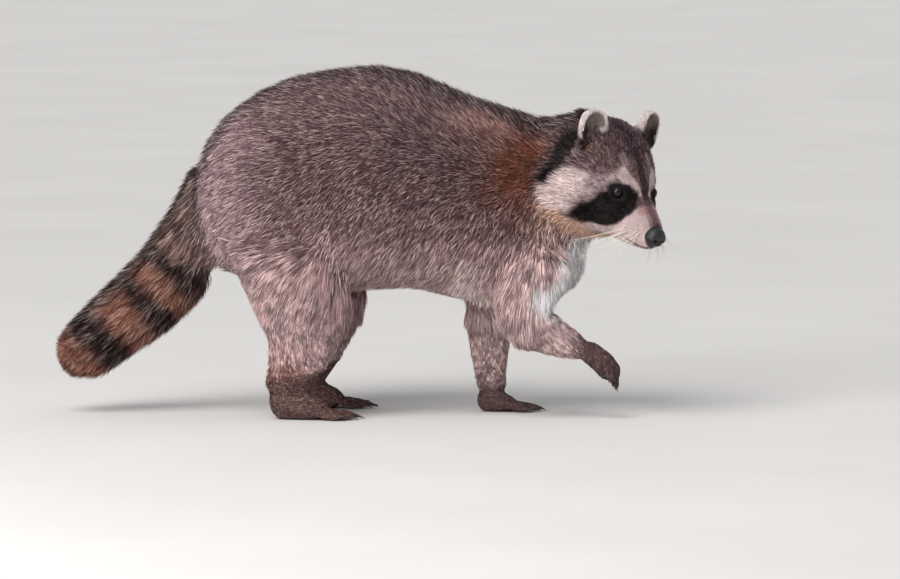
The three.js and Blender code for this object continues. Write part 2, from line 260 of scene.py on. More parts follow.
def refine(data, triangles, chosen):
    """Splits the chosen triangles in four, and their neighbours as needed. `data` holds one row a vertex."""
    count = len(data)
    pairs = np.sort(triangles[:, [0, 1, 1, 2, 2, 0]].reshape(-1, 2), axis=1)
    keys, edge = np.unique(pairs[:, 0] * count + pairs[:, 1], return_inverse=True)
    edge = edge.reshape(-1, 3)
    marked = np.zeros(len(keys), bool)
    marked[edge[chosen].ravel()] = True
    middle_of = np.where(marked, count + np.cumsum(marked) - 1, -1)
    ends = keys[marked]
    data = np.vstack([data, (data[ends // count] + data[ends % count]) / 2])
    cut = marked[edge]
    number = cut.sum(1)
    out = [triangles[number == 0]]

    def turned(which, first):
        """Triangles and their edge middles, turned so that edge `first` comes first."""
        rows = np.nonzero(which)[0]
        order = (first[rows][:, None] + np.arange(3)) % 3
        return (np.take_along_axis(triangles[rows], order, 1).T,
                np.take_along_axis(middle_of[edge[rows]], order, 1).T)

    (a, b, c), (ab, bc, ca) = turned(number == 3, np.zeros(len(cut), int))
    out += [np.stack(t, 1) for t in ((a, ab, ca), (ab, b, bc), (ca, bc, c), (ab, bc, ca))]
    (a, b, c), (ab, _, _) = turned(number == 1, cut.argmax(1))
    out += [np.stack(t, 1) for t in ((a, ab, c), (ab, b, c))]
    whole_edge = (~cut).argmax(1)
    (a, b, c), (ab, bc, _) = turned(number == 2, (whole_edge + 1) % 3)
    out += [np.stack(t, 1) for t in ((b, bc, ab), (a, ab, bc), (a, bc, c))]
    return data, np.vstack(out)


# ---------------------------------------------------------------- the body's outside, from the frame

NODES = sorted(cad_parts)
FLESH = [n for n in NODES if n not in ("nose", "eye_left", "eye_right")]
VOXEL = 2.5


# The outer toe of each hind foot, close against the sole, which the body's own solids leave out.
OUTER_TOES = {
    "hindleg_left_paw": ((-31, 71.5, 7.2), (-1.5, 81.5, 4.6)),
    "hindleg_right_paw": ((-45, -71.5, 7.2), (-15.5, -81.5, 4.6)),
}


def toe_flesh(back, front, thick=4.9, rings=13, sides=14):
    """A closed, rounded toe from one point to the other."""
    back, front = np.array(back, float), np.array(front, float)
    ahead = unit(front - back)
    across = unit(np.cross((0, 0, 1), ahead))
    over = np.cross(ahead, across)
    points = [back]
    for s in np.linspace(-1, 1, rings)[1:-1]:
        radius = thick * (1 - abs(s) ** 3) ** 0.5
        turn = np.arange(sides) * 2 * math.pi / sides
        ring = np.cos(turn)[:, None] * across + np.sin(turn)[:, None] * over
        points.extend((back + front) / 2 + (front - back) * s / 2 + ring * radius)
    points.append(front)
    last = len(points) - 1
    triangles = []
    for k in range(sides):
        nearby = (k + 1) % sides
        triangles.append((0, 1 + nearby, 1 + k))
        triangles.append((last, last - sides + k, last - sides + nearby))
        for r in range(rings - 3):
            a, b = 1 + r * sides + k, 1 + r * sides + nearby
            triangles += [(a, b, b + sides), (a, b + sides, a + sides)]
    return np.array(points), np.array(triangles)


def frame_surface():
    """All CAD solids as one list of points and triangles, with the node that each triangle belongs to."""
    points, triangles, owner, start = [], [], [], 0
    for number, name in enumerate(NODES):
        p, t = arrays_of(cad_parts[name].data)
        if name in OUTER_TOES:
            more, joined = toe_flesh(*OUTER_TOES[name])
            p, t = np.vstack((p, more)), np.vstack((t, joined + len(p)))
        points.append(p)
        triangles.append(t + start)
        owner.append(np.full(len(t), number))
        start += len(p)
    return np.vstack(points), np.vstack(triangles), np.concatenate(owner)


def filled(points, triangles):
    """One closed surface round all the solids: thin cuts between them close up."""
    source = make_mesh("fill", points, triangles, None)
    change = source.modifiers.new("fill", "REMESH")
    change.mode, change.voxel_size, change.adaptivity = "VOXEL", VOXEL * MM, 0
    ready = source.evaluated_get(bpy.context.evaluated_depsgraph_get())
    mesh = bpy.data.meshes.new_from_object(ready)
    result = arrays_of(mesh)
    old = source.data
    bpy.data.objects.remove(source)
    bpy.data.meshes.remove(mesh)
    bpy.data.meshes.remove(old)
    return biggest_piece(*result)


def group_of(name):
    """The kind of flesh that a node is."""
    for start, group in (
        ("head", "head"), ("ear", "ear"), ("eye", "head"), ("nose", "nose"),
        ("neck", "neck"), ("trunk", "trunk"), ("tail", "tail"),
    ):
        if name.startswith(start):
            return group
    limb = "hind" if name.startswith("hindleg") else "fore"
    return limb + "_" + name.rsplit("_", 1)[1]


GROUPS = [
    "trunk", "neck", "head", "ear", "nose", "tail",
    "hind_upper", "hind_lower", "hind_paw", "fore_upper", "fore_lower", "fore_paw",
]
G = {name: k for k, name in enumerate(GROUPS)}
NODE_GROUP = np.array([G[group_of(n)] for n in NODES])

# How far the skin lies under the tips of the hair, how long and wide the tufts are, and how many grow on
# a square millimetre, by kind of flesh.
DEPTH = dict(trunk=12, neck=11, head=4, ear=1.1, nose=6.0, tail=19, hind_upper=10, hind_lower=6.5,
             hind_paw=1.1, fore_upper=8, fore_lower=4.5, fore_paw=1.0)
HAIR = dict(trunk=22, neck=24, head=10, ear=5, nose=3, tail=31, hind_upper=27, hind_lower=18, hind_paw=5.5,
            fore_upper=25, fore_lower=14, fore_paw=4)
THICK = dict(trunk=1.05, neck=1.1, head=0.8, ear=0.65, nose=0.5, tail=1.2, hind_upper=1.15, hind_lower=1.05,
             hind_paw=0.8, fore_upper=1.1, fore_lower=0.95, fore_paw=0.7)
DENSITY = dict(trunk=1.6, neck=1.6, head=2.2, ear=3.2, nose=0, tail=2.0, hind_upper=1.55, hind_lower=1.8,
               hind_paw=1.2, fore_upper=1.7, fore_lower=2.1, fore_paw=1.5)


def by_group(table):
    return np.array([table[g] for g in GROUPS], float)


LOOSE = [G[g] for g in ("trunk", "neck", "tail", "hind_upper", "hind_lower", "fore_upper", "fore_lower")]
CLOSE = [k for k in range(len(GROUPS)) if k not in LOOSE]


def blended(shares, web):
    """Shares of each kind of flesh: narrow blends at the head, ears and paws, wide ones elsewhere."""
    out = web.blur(shares, 4)
    paws = [G["fore_paw"], G["hind_paw"]]
    out[:, paws] = web.blur(out[:, paws], 14)
    wide = web.blur(shares[:, LOOSE], 70) + 1e-6
    room = np.clip(1 - out[:, CLOSE].sum(1, keepdims=True), 0, 1)
    out[:, LOOSE] = wide / wide.sum(1, keepdims=True) * room
    return out / out.sum(1, keepdims=True)


def face_share(head):
    """1 on the short-haired front of the face, 0 on the ruff, crown and throat."""
    x, a = head[:, 0], np.abs(head[:, 1])
    return ease(-30, -6, x + 0.25 * (12 - a))


def ruff_share(head):
    """1 on the long hair that stands out from the cheeks."""
    x, a, z = head[:, 0], np.abs(head[:, 1]), head[:, 2]
    return ease(34, 56, a) * ease(-18, -42, x) * ease(26, 4, z)


# ---------------------------------------------------------------- eyes and mouth in the skin

LID = dict(half_width=8.0, half_height=6.9, over=0.9, tilt=12)
MOUTH = [(51, 1, -37), (44, 9, -38), (34, 13.5, -38.5), (22, 17, -39.5), (10, 20, -41), (0, 23, -42)]


def eye_axes(hand):
    """Centre, and the gaze, inner-to-outer and upward directions, in the head's frame."""
    centre = np.array([EYE_AT[0], hand * EYE_AT[1], EYE_AT[2]], float)
    gaze = unit(np.array([GAZE[0], hand * GAZE[1], GAZE[2]]))
    outward = unit(np.cross(gaze, (0, 0, 1)) * -hand)
    up = unit(np.cross(gaze, outward) * hand)
    if up[2] < 0:
        up = -up
    if outward[1] * hand < 0:
        outward = -outward
    lean = math.radians(LID["tilt"])
    return (centre, gaze, outward * math.cos(lean) + up * math.sin(lean),
            up * math.cos(lean) - outward * math.sin(lean))


def eye_reach(head, hand):
    """How far out of the opening a point lies: 1 on the lid's edge. Large behind the eye."""
    centre, gaze, outward, up = eye_axes(hand)
    d = head - centre
    r = np.linalg.norm(d, axis=1)
    u, v, w = d @ outward, d @ up, d @ gaze
    pinch = 1 + 0.10 * ease(3, 8, np.abs(u))
    reach = np.hypot(u / LID["half_width"], v * pinch / LID["half_height"])
    return np.where(w > 0, reach, 9), r


def shape_lids(head):
    for hand in HANDS.values():
        centre = eye_axes(hand)[0]
        reach, r = eye_reach(head, hand)
        d = head - centre
        hole = EYE_RADIUS * 0.62
        rim = EYE_RADIUS + LID["over"]
        height = mix(hole, rim, ease(0.90, 1.06, reach))
        height = height + 0.55 * np.exp(-((reach - 1.22) / 0.16) ** 2)
        keep = ease(1.25, 2.3, reach)
        wanted = mix(height, r, keep)
        head = np.where((reach < 2.4)[:, None] & (r < 24)[:, None], centre + unit(d) * wanted[:, None], head)
    return head


def line_distance(points, line):
    """Distance to a drawn line, and the share of the way along it."""
    line = np.asarray(line, float)
    near, along = np.full(len(points), 1e9), np.zeros(len(points))
    for k in range(len(line) - 1):
        a, d = line[k], line[k + 1] - line[k]
        t = np.clip((points - a) @ d / (d @ d), 0, 1)
        away = np.linalg.norm(points - a - t[:, None] * d, axis=1)
        closer = away < near
        near, along = np.where(closer, away, near), np.where(closer, (k + t) / (len(line) - 1), along)
    return near, along


def mirrored(head):
    return head * (1, 0, 1) + np.abs(head) * (0, 1, 0)


def shape_mouth(head, normal):
    near, along = line_distance(mirrored(head), MOUTH)
    fade = ease(1.02, 0.8, along)
    dent = 1.5 * np.exp(-(near / 1.3) ** 2) - 0.5 * np.exp(-((near - 3.2) / 1.8) ** 2)
    return head - normal * (dent * fade)[:, None]


# ---------------------------------------------------------------- skin

def make_skin_shape():
    """The skin's points and triangles, with what the coat needs to know at each point."""
    surface, faces, owner = frame_surface()
    tree = BVHTree.FromPolygons(surface.tolist(), faces.tolist())
    points, triangles = filled(surface, faces)
    found = np.array([tree.find_nearest(p)[2] for p in points])
    group = NODE_GROUP[owner[found]]
    shares = np.eye(len(GROUPS))[group]
    web = Web(triangles, len(points))
    thin = np.isin(group, [G["ear"], G["fore_paw"], G["hind_paw"]])
    hull = fair(points, web, 24, np.where(thin, 0.35, 1.0))
    head = to_head(hull)

    depth = by_group(DEPTH)[group]
    on_head = group == G["head"]
    face, ruff = face_share(head), ruff_share(head)
    head_depth = mix(mix(5.0, 1.2, face), 14.0, ruff)
    throat = ease(-38, -58, head[:, 2]) * ease(10, -30, head[:, 0])
    head_depth = mix(head_depth, 9.0, throat * (1 - ruff))
    depth = np.where(on_head, head_depth, depth)
    depth = np.where(hull[:, 2] < 3, 0.3, depth)
    spread = web.blur(depth, 60)
    depth = np.where(thin | (on_head & (face > 0.5)), np.minimum(depth * 1.1, web.blur(depth, 4)), spread)
    soft = (web.blur(np.where(thin, 0.0, 1.0), 6)[:, None]
            * np.where(face[:, None] * on_head[:, None] > 0.5, 0.3, 1))

    points = hull.copy()
    steps = 8
    for _ in range(steps):
        points = points - normals_of(points, triangles) * depth[:, None] / steps
        points = points + 0.4 * soft * (web.mean(points) - points)

    data = np.hstack([points, hull, shares])
    for size, reach in ((-34, 200), (-20, 19)):
        head = to_head(data[:, 3:6])
        on_head = data[:, 6 + G["head"]] + data[:, 6 + G["nose"]] + data[:, 6 + G["ear"]] > 0.5
        if reach > 100:
            near = (head[:, 0] > size) | (data[:, 6 + G["ear"]] > 0.3)
        else:
            eyes = np.minimum(*(np.linalg.norm(head - eye_axes(h)[0], axis=1) for h in HANDS.values()))
            near = (eyes < reach) | (line_distance(mirrored(head), MOUTH)[0] < 6)
        chosen = (near & on_head)[triangles].all(1)
        data, triangles = refine(data, triangles, chosen)
    points, hull, shares = data[:, :3], data[:, 3:6], data[:, 6:]
    web = Web(triangles, len(points))
    fine = ease(0.2, 0.8, shares[:, G["head"]]) * ease(-50, -30, to_head(hull)[:, 0])
    points = fair(points, web, 6, fine)
    normal = normals_of(points, triangles)
    head = shape_mouth(shape_lids(to_head(points)), normal @ HEAD_AXES)
    on_face = shares[:, G["head"]] + shares[:, G["nose"]] > 0.4
    points = np.where(on_face[:, None], from_head(head), points)
    print("skin", len(points), "points", len(triangles), "triangles")
    return points, triangles, hull, blended(shares, web), web


skin_points, skin_triangles, skin_hull, skin_shares, skin_web = make_skin_shape()
skin_normals = normals_of(skin_points, skin_triangles)


# ---------------------------------------------------------------- the tail's own measure

# The tail's middle line, from root to tip, and its dark bands, placed as shares of its length.
TAIL_LINE = np.array([
    (-150, 0, 240), (-167, 1, 208), (-181, 2, 180), (-199, 4, 150), (-223, 6, 125), (-249, 8, 103),
    (-275, 9, 82), (-297, 9, 60), (-313, 9, 42),
]) + SHIFT
TAIL_LENGTH = np.linalg.norm(np.diff(TAIL_LINE, axis=0), axis=1)
# (middle of a dark band, half its width, how dark), all along the tail in shares of its length
TAIL_BANDS = [
    (0.075, 0.038, 0.7), (0.205, 0.032, 0.85), (0.365, 0.040, 1),
    (0.550, 0.045, 1), (0.800, 0.066, 1), (1.02, 0.05, 0.8),
]


def tail_measure(points):
    """Share of the way along the tail, the way it points there, and the direction out from its middle."""
    near, along = np.full(len(points), 1e9), np.zeros(len(points))
    way, out = np.zeros_like(points), np.zeros_like(points)
    reached = np.concatenate([[0], np.cumsum(TAIL_LENGTH)]) / TAIL_LENGTH.sum()
    slopes = unit(np.gradient(TAIL_LINE, axis=0))
    for k in range(len(TAIL_LENGTH)):
        a, d = TAIL_LINE[k], TAIL_LINE[k + 1] - TAIL_LINE[k]
        raw = (points - a) @ d / (d @ d)
        t = np.clip(raw, 0 if k else -0.5, 1 if k < len(TAIL_LENGTH) - 1 else 1.9)
        gap = points - a - t[:, None] * d
        away = np.linalg.norm(gap, axis=1)
        closer = away < near
        near = np.where(closer, away, near)
        along = np.where(closer, reached[k] + t * (reached[k + 1] - reached[k]), along)
        way = np.where(closer[:, None], mix(slopes[k], slopes[k + 1], np.clip(t, 0, 1)[:, None]), way)
        out = np.where(closer[:, None], gap, out)
    return along, unit(way), unit(out)


# ---------------------------------------------------------------- markings

COLOUR = {key: srgb(*value) for key, value in dict(
    back=(115, 86, 90), side=(108, 78, 81), lower=(164, 130, 132), rump=(148, 118, 124), rust=(146, 86, 64),
    dorsal=(62, 45, 52), thigh=(186, 156, 157), foreleg=(180, 153, 153), heel=(134, 88, 82),
    paw=(90, 66, 66), hind_paw=(96, 70, 66), chest=(222, 220, 222), belly=(166, 138, 137),
    # fringe_and_painted_light is the pale fringe fur, painted paler still as painted light where the body
    # shades it
    fringe_and_painted_light=(228, 210, 208), nape=(66, 42, 50), tan=(184, 140, 132), forehead=(106, 80, 83),
    crown=(72, 50, 58), white=(216, 196, 194), band=(146, 124, 129), buff=(218, 178, 157), mask=(12, 6, 8),
    stripe=(54, 38, 44), bridge=(122, 94, 98), cream=(217, 195, 195), patch=(13, 4, 4), jaw=(128, 106, 98),
    lip=(26, 18, 18), pink=(186, 112, 108), ear_rim=(240, 226, 226), ear_inside=(150, 138, 130),
    # ear_shade is painted shade for the bottom of the ear's hollow, its base and just below it
    ear_shade=(30, 19, 18), ear_back=(150, 126, 120), ear_rust=(128, 88, 72), tail_pale=(142, 94, 79),
    tail_grey=(146, 116, 108), tail_dark=(38, 19, 20), pad=(52, 42, 42), pale_tip=(226, 207, 201),
    under=(64, 46, 45),
).items()}

# Outlines on the side of the head, (forward, up) in the head's frame.
MASK = [(-6, 2), (-3, 9), (4, 12), (11, 10), (18, 4), (23, -4), (21, -14), (14, -29), (2, -36), (-6, -40),
        (-21, -47), (-34, -50), (-45, -49), (-36, -41), (-27, -30), (-21, -20), (-13, -7)]
WHITE = [(-10, 3), (-11, 19), (-14, 14), (-20.5, 8), (-29, 5), (-40, 3.5), (-52, 1.5), (-62, -1),
         (-66, -18), (-66, -40), (-60, -52), (-50, -61), (-42, -58), (-35, -45), (-26, -31), (-20, -20),
         (-12, -6)]
PATCH_BEHIND_EAR = [(-62, -24), (-64, -12), (-65, -3), (-66, 14), (-63, 30), (-71, 38), (-86, 34),
                    (-95, 22), (-93, 5), (-83, -13), (-71, -28)]
MUZZLE = [(26, 4), (42, -4), (62, -10), (62, -48), (22, -60), (-8, -57), (-28, -54), (-23, -47), (-6, -41),
          (13, -30), (21, -14)]


def head_marks(head):
    """Colour and strength of the grizzle on the head, painted layer over layer."""
    wobble = np.stack([ripple(head, 9, 1), ripple(head, 9, 2)], 1) * 2.2
    x, z = head[:, 0] + wobble[:, 0], head[:, 2] + wobble[:, 1]
    a = np.abs(head[:, 1])
    tone = np.tile(COLOUR["forehead"], (len(head), 1))
    grizzle = np.full(len(head), 0.75)

    def lay(colour, share, strength):
        nonlocal tone, grizzle
        tone = mix(tone, COLOUR[colour], share[:, None])
        grizzle = mix(grizzle, strength, share)

    hairs = ripple(head * (0.16, 0.5, 0.5), 1.6, 8)
    lay("crown", ease(-34, -62, x) * ease(-4, 16, z), 0.6)
    lay("crown", ease(34, 20, a) * ease(20, 32, z + 0.2 * x) * ease(-6, -20, x), 0.5)
    lay("jaw", ease(-44, -56, z) * ease(-64, -40, x), 0.6)
    lay("cream", within(MUZZLE, x, z, 2.5), 0.2)
    lay("jaw", within([(-34, -57), (2, -50), (16, -52), (14, -70), (-34, -70)], x, z, 3) * 0.8, 0.5)
    lay("white", within(
        [(-36, -50), (-20, -52), (-2, -45), (9, -41), (9, -45), (-4, -50), (-20, -57), (-36, -58)],
        x, z, 1.6), 0.2)
    lay("band", within(
        [(-4, 4), (-8, 16), (-24, 13), (-40, 6), (-40, -20), (-22, -18), (-12, -4)], x, z, 5.0), 0.8)
    white = within(WHITE, x, z, mix(4.0, 2.5, ease(-40, -20, x)))
    lay("white", white * mix(1.0, 0.75 * ease(-0.3, 0.7, hairs), ease(-40, -22, x)), 0.35)
    brow = ease(5.4, 3.4, np.abs(a - 15.2 + 0.5 * x)) * ease(-15, -10, x) * ease(17, 12, x) * ease(-1, 3, z)
    lay("white", brow * (0.85 + 0.15 * hairs), 0.25)
    lay("white", 0.28 * ease(6.5, 2.5, line_distance(mirrored(head), [(-22, 17, 34), (-15, 15, 30)])[0]), 0.4)
    lay("buff", ease(-44, -52, z) * ease(-74, -54, x) * ease(-20, -34, x) * 0.9, 0.5)
    lay("mask", within(MASK, x + 0.8 * hairs, z + 0.8 * hairs, mix(2.2, 4.5, ease(-18, -36, x)))
        * ease(6, 9, a), 0.1)
    side = mirrored(head)
    # painted shade on the head just below the ear's hollow
    lay("ear_shade", ease(9, 4, np.linalg.norm((side - (-54, 46, 30)) * (1, 1, 0.8), axis=1)) * 0.85, 0.2)
    lay("ear_rust", ease(13, 4, np.linalg.norm(side - (-47, 38, 29), axis=1))
        * ease(-0.6, 0.6, hairs) * 0.7, 0.6)
    lay("band", ease(12, 5, np.linalg.norm(side - (-64, 50, 22), axis=1)) * 0.7, 0.7)
    top = ease(-26, -18, z + 0.25 * x)
    stripe = ease(5.2, 2.8, np.abs(head[:, 1]) + 0.8 * wobble[:, 0] / 2.2 - ease(-8, -30, x) * 3) * top
    lay("stripe", stripe * ease(32, 18, x), 0.3)
    lay("bridge", stripe * ease(16, 30, x) + ease(9, 6, a) * ease(20, 30, x) * top * 0.7 * (1 - stripe), 0.3)
    lay("pink", ease(7, 3, np.linalg.norm(mirrored(head) - (29, 9, -4), axis=1)) * 0.5, 0.2)
    eyes = np.minimum(*(np.linalg.norm(head - eye_axes(h)[0] - eye_axes(h)[1] * EYE_RADIUS, axis=1)
                        for h in HANDS.values()))
    lay("mask", ease(10.5, 8.5, eyes), 0.05)
    near, along = line_distance(mirrored(head), MOUTH)
    lay("lip", ease(2.2, 0.9, near) * ease(1.02, 0.85, along) * 0.9, 0)
    lay("lip", ease(15.5, 12, np.linalg.norm(head - NOSE_AT, axis=1)) * 0.9, 0)
    return tone, grizzle


def ear_marks(head, inside):
    """The ear's colour: pale rim, grey inside with painted shade deep in the hollow and at its base, greyer
    back.
    """
    rise = (head[:, 2] - 30) / 37
    a, z = np.abs(head[:, 1]), head[:, 2]
    hairs = ripple(head * (1, 1, 0.3), 1.8, 9)
    rim = ease(0.06, 0.3, inside) * ease(0.94, 0.66, inside)
    lip = mix(35, 49, ease(25, 30, a) * ease(48, 43, a))  # where the rim's white fur stops
    outer = mix(COLOUR["ear_back"], COLOUR["ear_rim"], ease(0.0, 0.5, rise)[:, None])
    # painted shade: the inside darkens towards the bottom of the hollow
    light = ease(0.12, 0.62, rise - 0.022 * (a - 38) + 0.12 * hairs)
    inner = mix(COLOUR["ear_shade"], COLOUR["ear_inside"], light[:, None])
    tone = mix(outer, inner, ease(0.5, 0.85, inside)[:, None])
    tone = mix(tone, COLOUR["ear_rim"], (rim * ease(-2, 3, z - lip))[:, None])
    # painted shade at the ear's base under the rim, mixed with its rust fur, darkest towards the outer side
    low = ease(2, -3, z - lip) * ease(-66, -56, head[:, 0])
    mixed = mix(COLOUR["ear_shade"], mix(COLOUR["ear_inside"], COLOUR["ear_rust"], 0.4),
                (ease(-0.5, 0.5, hairs) * 0.8)[:, None])
    tone = mix(tone, mix(mixed, COLOUR["ear_shade"], ease(38, 45, a)[:, None] * 0.8), low[:, None])
    return tone, np.full(len(head), 0.3)


def body_marks(points, down):
    """Neck, trunk and the tops of the legs. `down` is 1 where the surface faces the ground."""
    x, y, z = points.T
    x = x - SHIFT[0] + ripple(points, 22, 3) * 6
    z = z + ripple(points, 22, 4) * 6
    a = np.abs(y)
    tone = mix(COLOUR["side"], COLOUR["back"], ease(240, 330, z)[:, None])
    tone = mix(tone, COLOUR["lower"], ease(225, 150, z)[:, None] * ease(-160, -60, x)[:, None])
    tone = mix(tone, COLOUR["rump"], (ease(-80, -140, x) * ease(365, 300, z) * ease(6, 30, a))[:, None])
    tone = mix(tone, COLOUR["tan"], (np.exp(-((x - 133) / 34) ** 2 - ((z - 312) / 16) ** 2) * 0.85)[:, None])
    dorsal = ease(46, 16, a) * ease(0.1, -0.6, down) * ease(250, 300, z)
    dorsal = np.maximum(dorsal, ease(58, 26, a) * ease(-120, -140, x) * ease(0.5, 0, down))
    tone = mix(tone, COLOUR["dorsal"], (dorsal * 0.9)[:, None])
    rust = np.exp(-((x - 172) / 40) ** 2 - ((z - 264) / 40) ** 2) * ease(10, 40, a)
    tone = mix(tone, COLOUR["rust"], np.clip(rust * 1.25, 0, 0.95)[:, None])
    nape = ease(130, 175, x) * ease(285, 300, z) * ease(44, 20, a)
    tone = mix(tone, COLOUR["nape"], nape[:, None] * 0.8)
    buff = np.exp(-((x - 206) / 20) ** 2 - ((z - 212) / 17) ** 2) * ease(20, 50, a)
    tone = mix(tone, COLOUR["buff"], (buff * 0.8)[:, None])
    under = ease(0.25, 0.75, down)
    tone = mix(tone, COLOUR["belly"], under[:, None])
    # painted light: the underside beside the legs gets the pale fringe colour, brighter than the fur, against
    # the body's shade
    painted_light_by_leg = under * ease(92, 110, x) * ease(175, 155, x) * ease(185, 165, z)
    tone = mix(tone, COLOUR["fringe_and_painted_light"], (painted_light_by_leg * 0.85)[:, None])
    tone = mix(tone, COLOUR["chest"], (under * ease(150, 190, x) * ease(50, 25, a))[:, None])
    return tone, 0.95 - 0.55 * rust


# The white chest, seen from the side: what shows beside the lifted leg, and the breast in front of both legs.
CHEST_SIDE = [(180, 126), (190, 140), (208, 146), (216, 168), (223, 190), (246, 196), (246, 150),
              (226, 132), (226, 118), (219, 104), (203, 102), (190, 111)]
CHEST_FRONT = [(204, 148), (211, 166), (224, 180), (236, 192), (275, 205), (275, 120), (232, 112), (224, 128)]


def chest_share(points):
    """1 on the white chest, with a ragged edge."""
    x, y, z = points.T
    x, z = x - SHIFT[0] + ripple(points, 9, 10) * 3, z + ripple(points, 9, 11) * 3
    side = within(CHEST_SIDE, x, z, 6)
    front = within(CHEST_FRONT, x, z, 7) * ease(52, 36, np.abs(y))
    return np.maximum(side, front)


def marks(points, shares, inside, down):
    """Colour and grizzle strength anywhere on the animal, from what kind of flesh is there."""
    head = to_head(points)
    body, body_grizzle = body_marks(points, down)
    on_head, head_grizzle = head_marks(head)
    on_ear, ear_grizzle = ear_marks(head, inside)
    along, _, out = tail_measure(points)
    dark = np.zeros(len(points))
    jagged = along + ripple(points, 14, 5) * 0.012
    for centre, half, strength in TAIL_BANDS:
        dark = np.maximum(dark, strength * ease(half + 0.040, half - 0.030, np.abs(jagged - centre)))
    ridge = ease(0.55, 0.92, out @ unit(np.array([-0.72, 0, 0.69]))) * ease(0.98, 0.80, along)
    pale = mix(COLOUR["tail_grey"], COLOUR["tail_pale"], ease(0.25, 0.5, along)[:, None])
    tail = mix(pale, COLOUR["tail_dark"], np.maximum(dark, ridge * 0.9)[:, None])
    tail = mix(body, tail, ease(-0.03, 0.05, along)[:, None])

    x, y, z = points.T
    thigh = mix(body, COLOUR["thigh"], ease(200, 120, z)[:, None] * 0.85)
    x = x - SHIFT[0]
    heel = ease(92, 40, z) * ease(-40, -70, x)
    shin = mix(COLOUR["thigh"], COLOUR["heel"], heel[:, None])
    shin = mix(shin, COLOUR["hind_paw"], ease(58, 22, z)[:, None])
    arm = mix(body, COLOUR["foreleg"], ease(215, 150, z)[:, None] * 0.9)
    # painted light over the pale fringe on the standing leg's top, which lies in the body's shade
    arm = mix(arm, COLOUR["fringe_and_painted_light"], ((y > BETWEEN_LEGS) * ease(185, 160, z) * 0.9)[:, None])
    far_end = ease(214, 244, x) * ease(-30, -50, y)
    # painted light over the pale fringe on the standing forearm's top, in the body's shade
    forearm = mix(COLOUR["foreleg"], COLOUR["fringe_and_painted_light"], ((y > BETWEEN_LEGS) * ease(95, 125, z) * 0.9)[:, None])
    forearm = mix(forearm, COLOUR["paw"], np.maximum(far_end, ease(60, 20, z) * 0.4)[:, None])
    digits = (ease(0.5, 0.95, np.cos((x + 0.35 * z) * 1.05)) * ease(64, 54, z)
              * (y < BETWEEN_LEGS) * ease(236, 244, x))
    hand = mix(COLOUR["paw"], COLOUR["mask"], (digits * 0.6)[:, None])
    chest = chest_share(points)
    tones = dict(trunk=body, neck=body, head=on_head, ear=on_ear,
                 nose=np.tile(COLOUR["lip"], (len(points), 1)), tail=tail, hind_upper=thigh,
                 hind_lower=shin, hind_paw=np.tile(COLOUR["hind_paw"], (len(points), 1)), fore_upper=arm,
                 fore_lower=forearm, fore_paw=hand)
    strengths = dict(trunk=body_grizzle, neck=body_grizzle, head=head_grizzle, ear=ear_grizzle, nose=0,
                     tail=0.45, hind_upper=0.85, hind_lower=0.7, hind_paw=0.4, fore_upper=0.85,
                     fore_lower=0.6, fore_paw=0.35)
    tone = sum(tones[g] * shares[:, [G[g]]] for g in GROUPS)
    grizzle = sum(strengths[g] * shares[:, G[g]] for g in GROUPS)
    breast = chest * (shares @ by_group(
        dict(dict.fromkeys(GROUPS, 0), trunk=1, neck=1, fore_upper=1, fore_lower=0.7)))
    tone = mix(tone, COLOUR["chest"], breast[:, None])
    a = np.abs(head[:, 1])
    ragged = ripple(head * (0.4, 1, 1), 4, 12)
    soft = mix(3.0, 10.0, ease(-68, -84, head[:, 0]))
    behind = within(PATCH_BEHIND_EAR, head[:, 0] + 3 * ragged, head[:, 2] + 2 * ragged, soft)
    behind = behind * ease(20, 34, a) * (1 - shares[:, G["ear"]])
    tone = mix(tone, COLOUR["patch"], behind[:, None])
    return tone, grizzle * (1 - 0.6 * breast) * (1 - 0.85 * behind)


# ---------------------------------------------------------------- lie of the coat

def ear_inside(head, normal):
    """1 on the hollow of an ear, 0 on its back."""
    hand = np.sign(head[:, 1])
    axis = unit(np.stack([-0.2 * np.ones(len(head)), 0.1 * hand, 0.97 * np.ones(len(head))], 1))
    opening = unit(np.stack([0.96 * np.ones(len(head)), 0.2 * hand, np.zeros(len(head))], 1))
    root = np.stack([-56 * np.ones(len(head)), 34.5 * hand, 30 * np.ones(len(head))], 1)
    heart = root + opening * 9 + axis * 15
    return ((normal * (heart - head)).sum(1) > 0).astype(float)


# The way the hair points on the flank, seen from the side: x and z before SHIFT, then its direction there.
SIDE_LIE = [
    (-150, 330, -1, -0.6), (-150, 260, -1, -0.45), (-145, 200, -1, -0.8), (-112, 238, -1, -0.3),
    (-132, 178, -1, -0.9), (-64, 345, -1, 0.25), (10, 360, -1, 0.3), (-64, 310, -1, -0.15),
    (-50, 244, -0.6, -0.8), (-80, 175, -0.8, -0.9), (-36, 155, -0.45, -1), (23, 252, -0.9, -0.7),
    (8, 207, -0.5, -0.9), (23, 155, -0.3, -1), (74, 330, -0.9, 0.7), (127, 315, -0.8, 0.8),
    (117, 278, -1, 0.1), (85, 246, -0.9, -0.5), (74, 214, -0.7, -0.9), (117, 182, -0.7, -0.9),
    (170, 257, -1, -0.2), (170, 219, -0.8, -0.6), (170, 182, -0.5, -0.9), (191, 171, -0.05, -1),
    (207, 166, 0.3, -1), (191, 129, 0.12, -1), (197, 315, -0.8, 0.6), (60, 140, -0.35, -1),
    (120, 140, -0.3, -1), (-80, 120, -0.45, -1), (-40, 110, -0.25, -1), (-75, 70, -0.3, -1),
    (-130, 150, -0.6, -1), (160, 130, -0.1, -1), (212, 95, 0.55, -0.8), (150, 60, 0, -1),
    (226, 186, 0.1, -1), (238, 205, 0, -1),
]


def lie_on_side(points):
    """The mean of the drawn directions near each point of the flank."""
    total = np.zeros((len(points), 3))
    for x, z, dx, dz in SIDE_LIE:
        gap = (points[:, 0] - SHIFT[0] - x) ** 2 + (points[:, 2] - z) ** 2
        total += (np.exp(-gap / 2200) + 1e-7)[:, None] * unit(np.array([dx, 0.0, dz]))
    return unit(total)


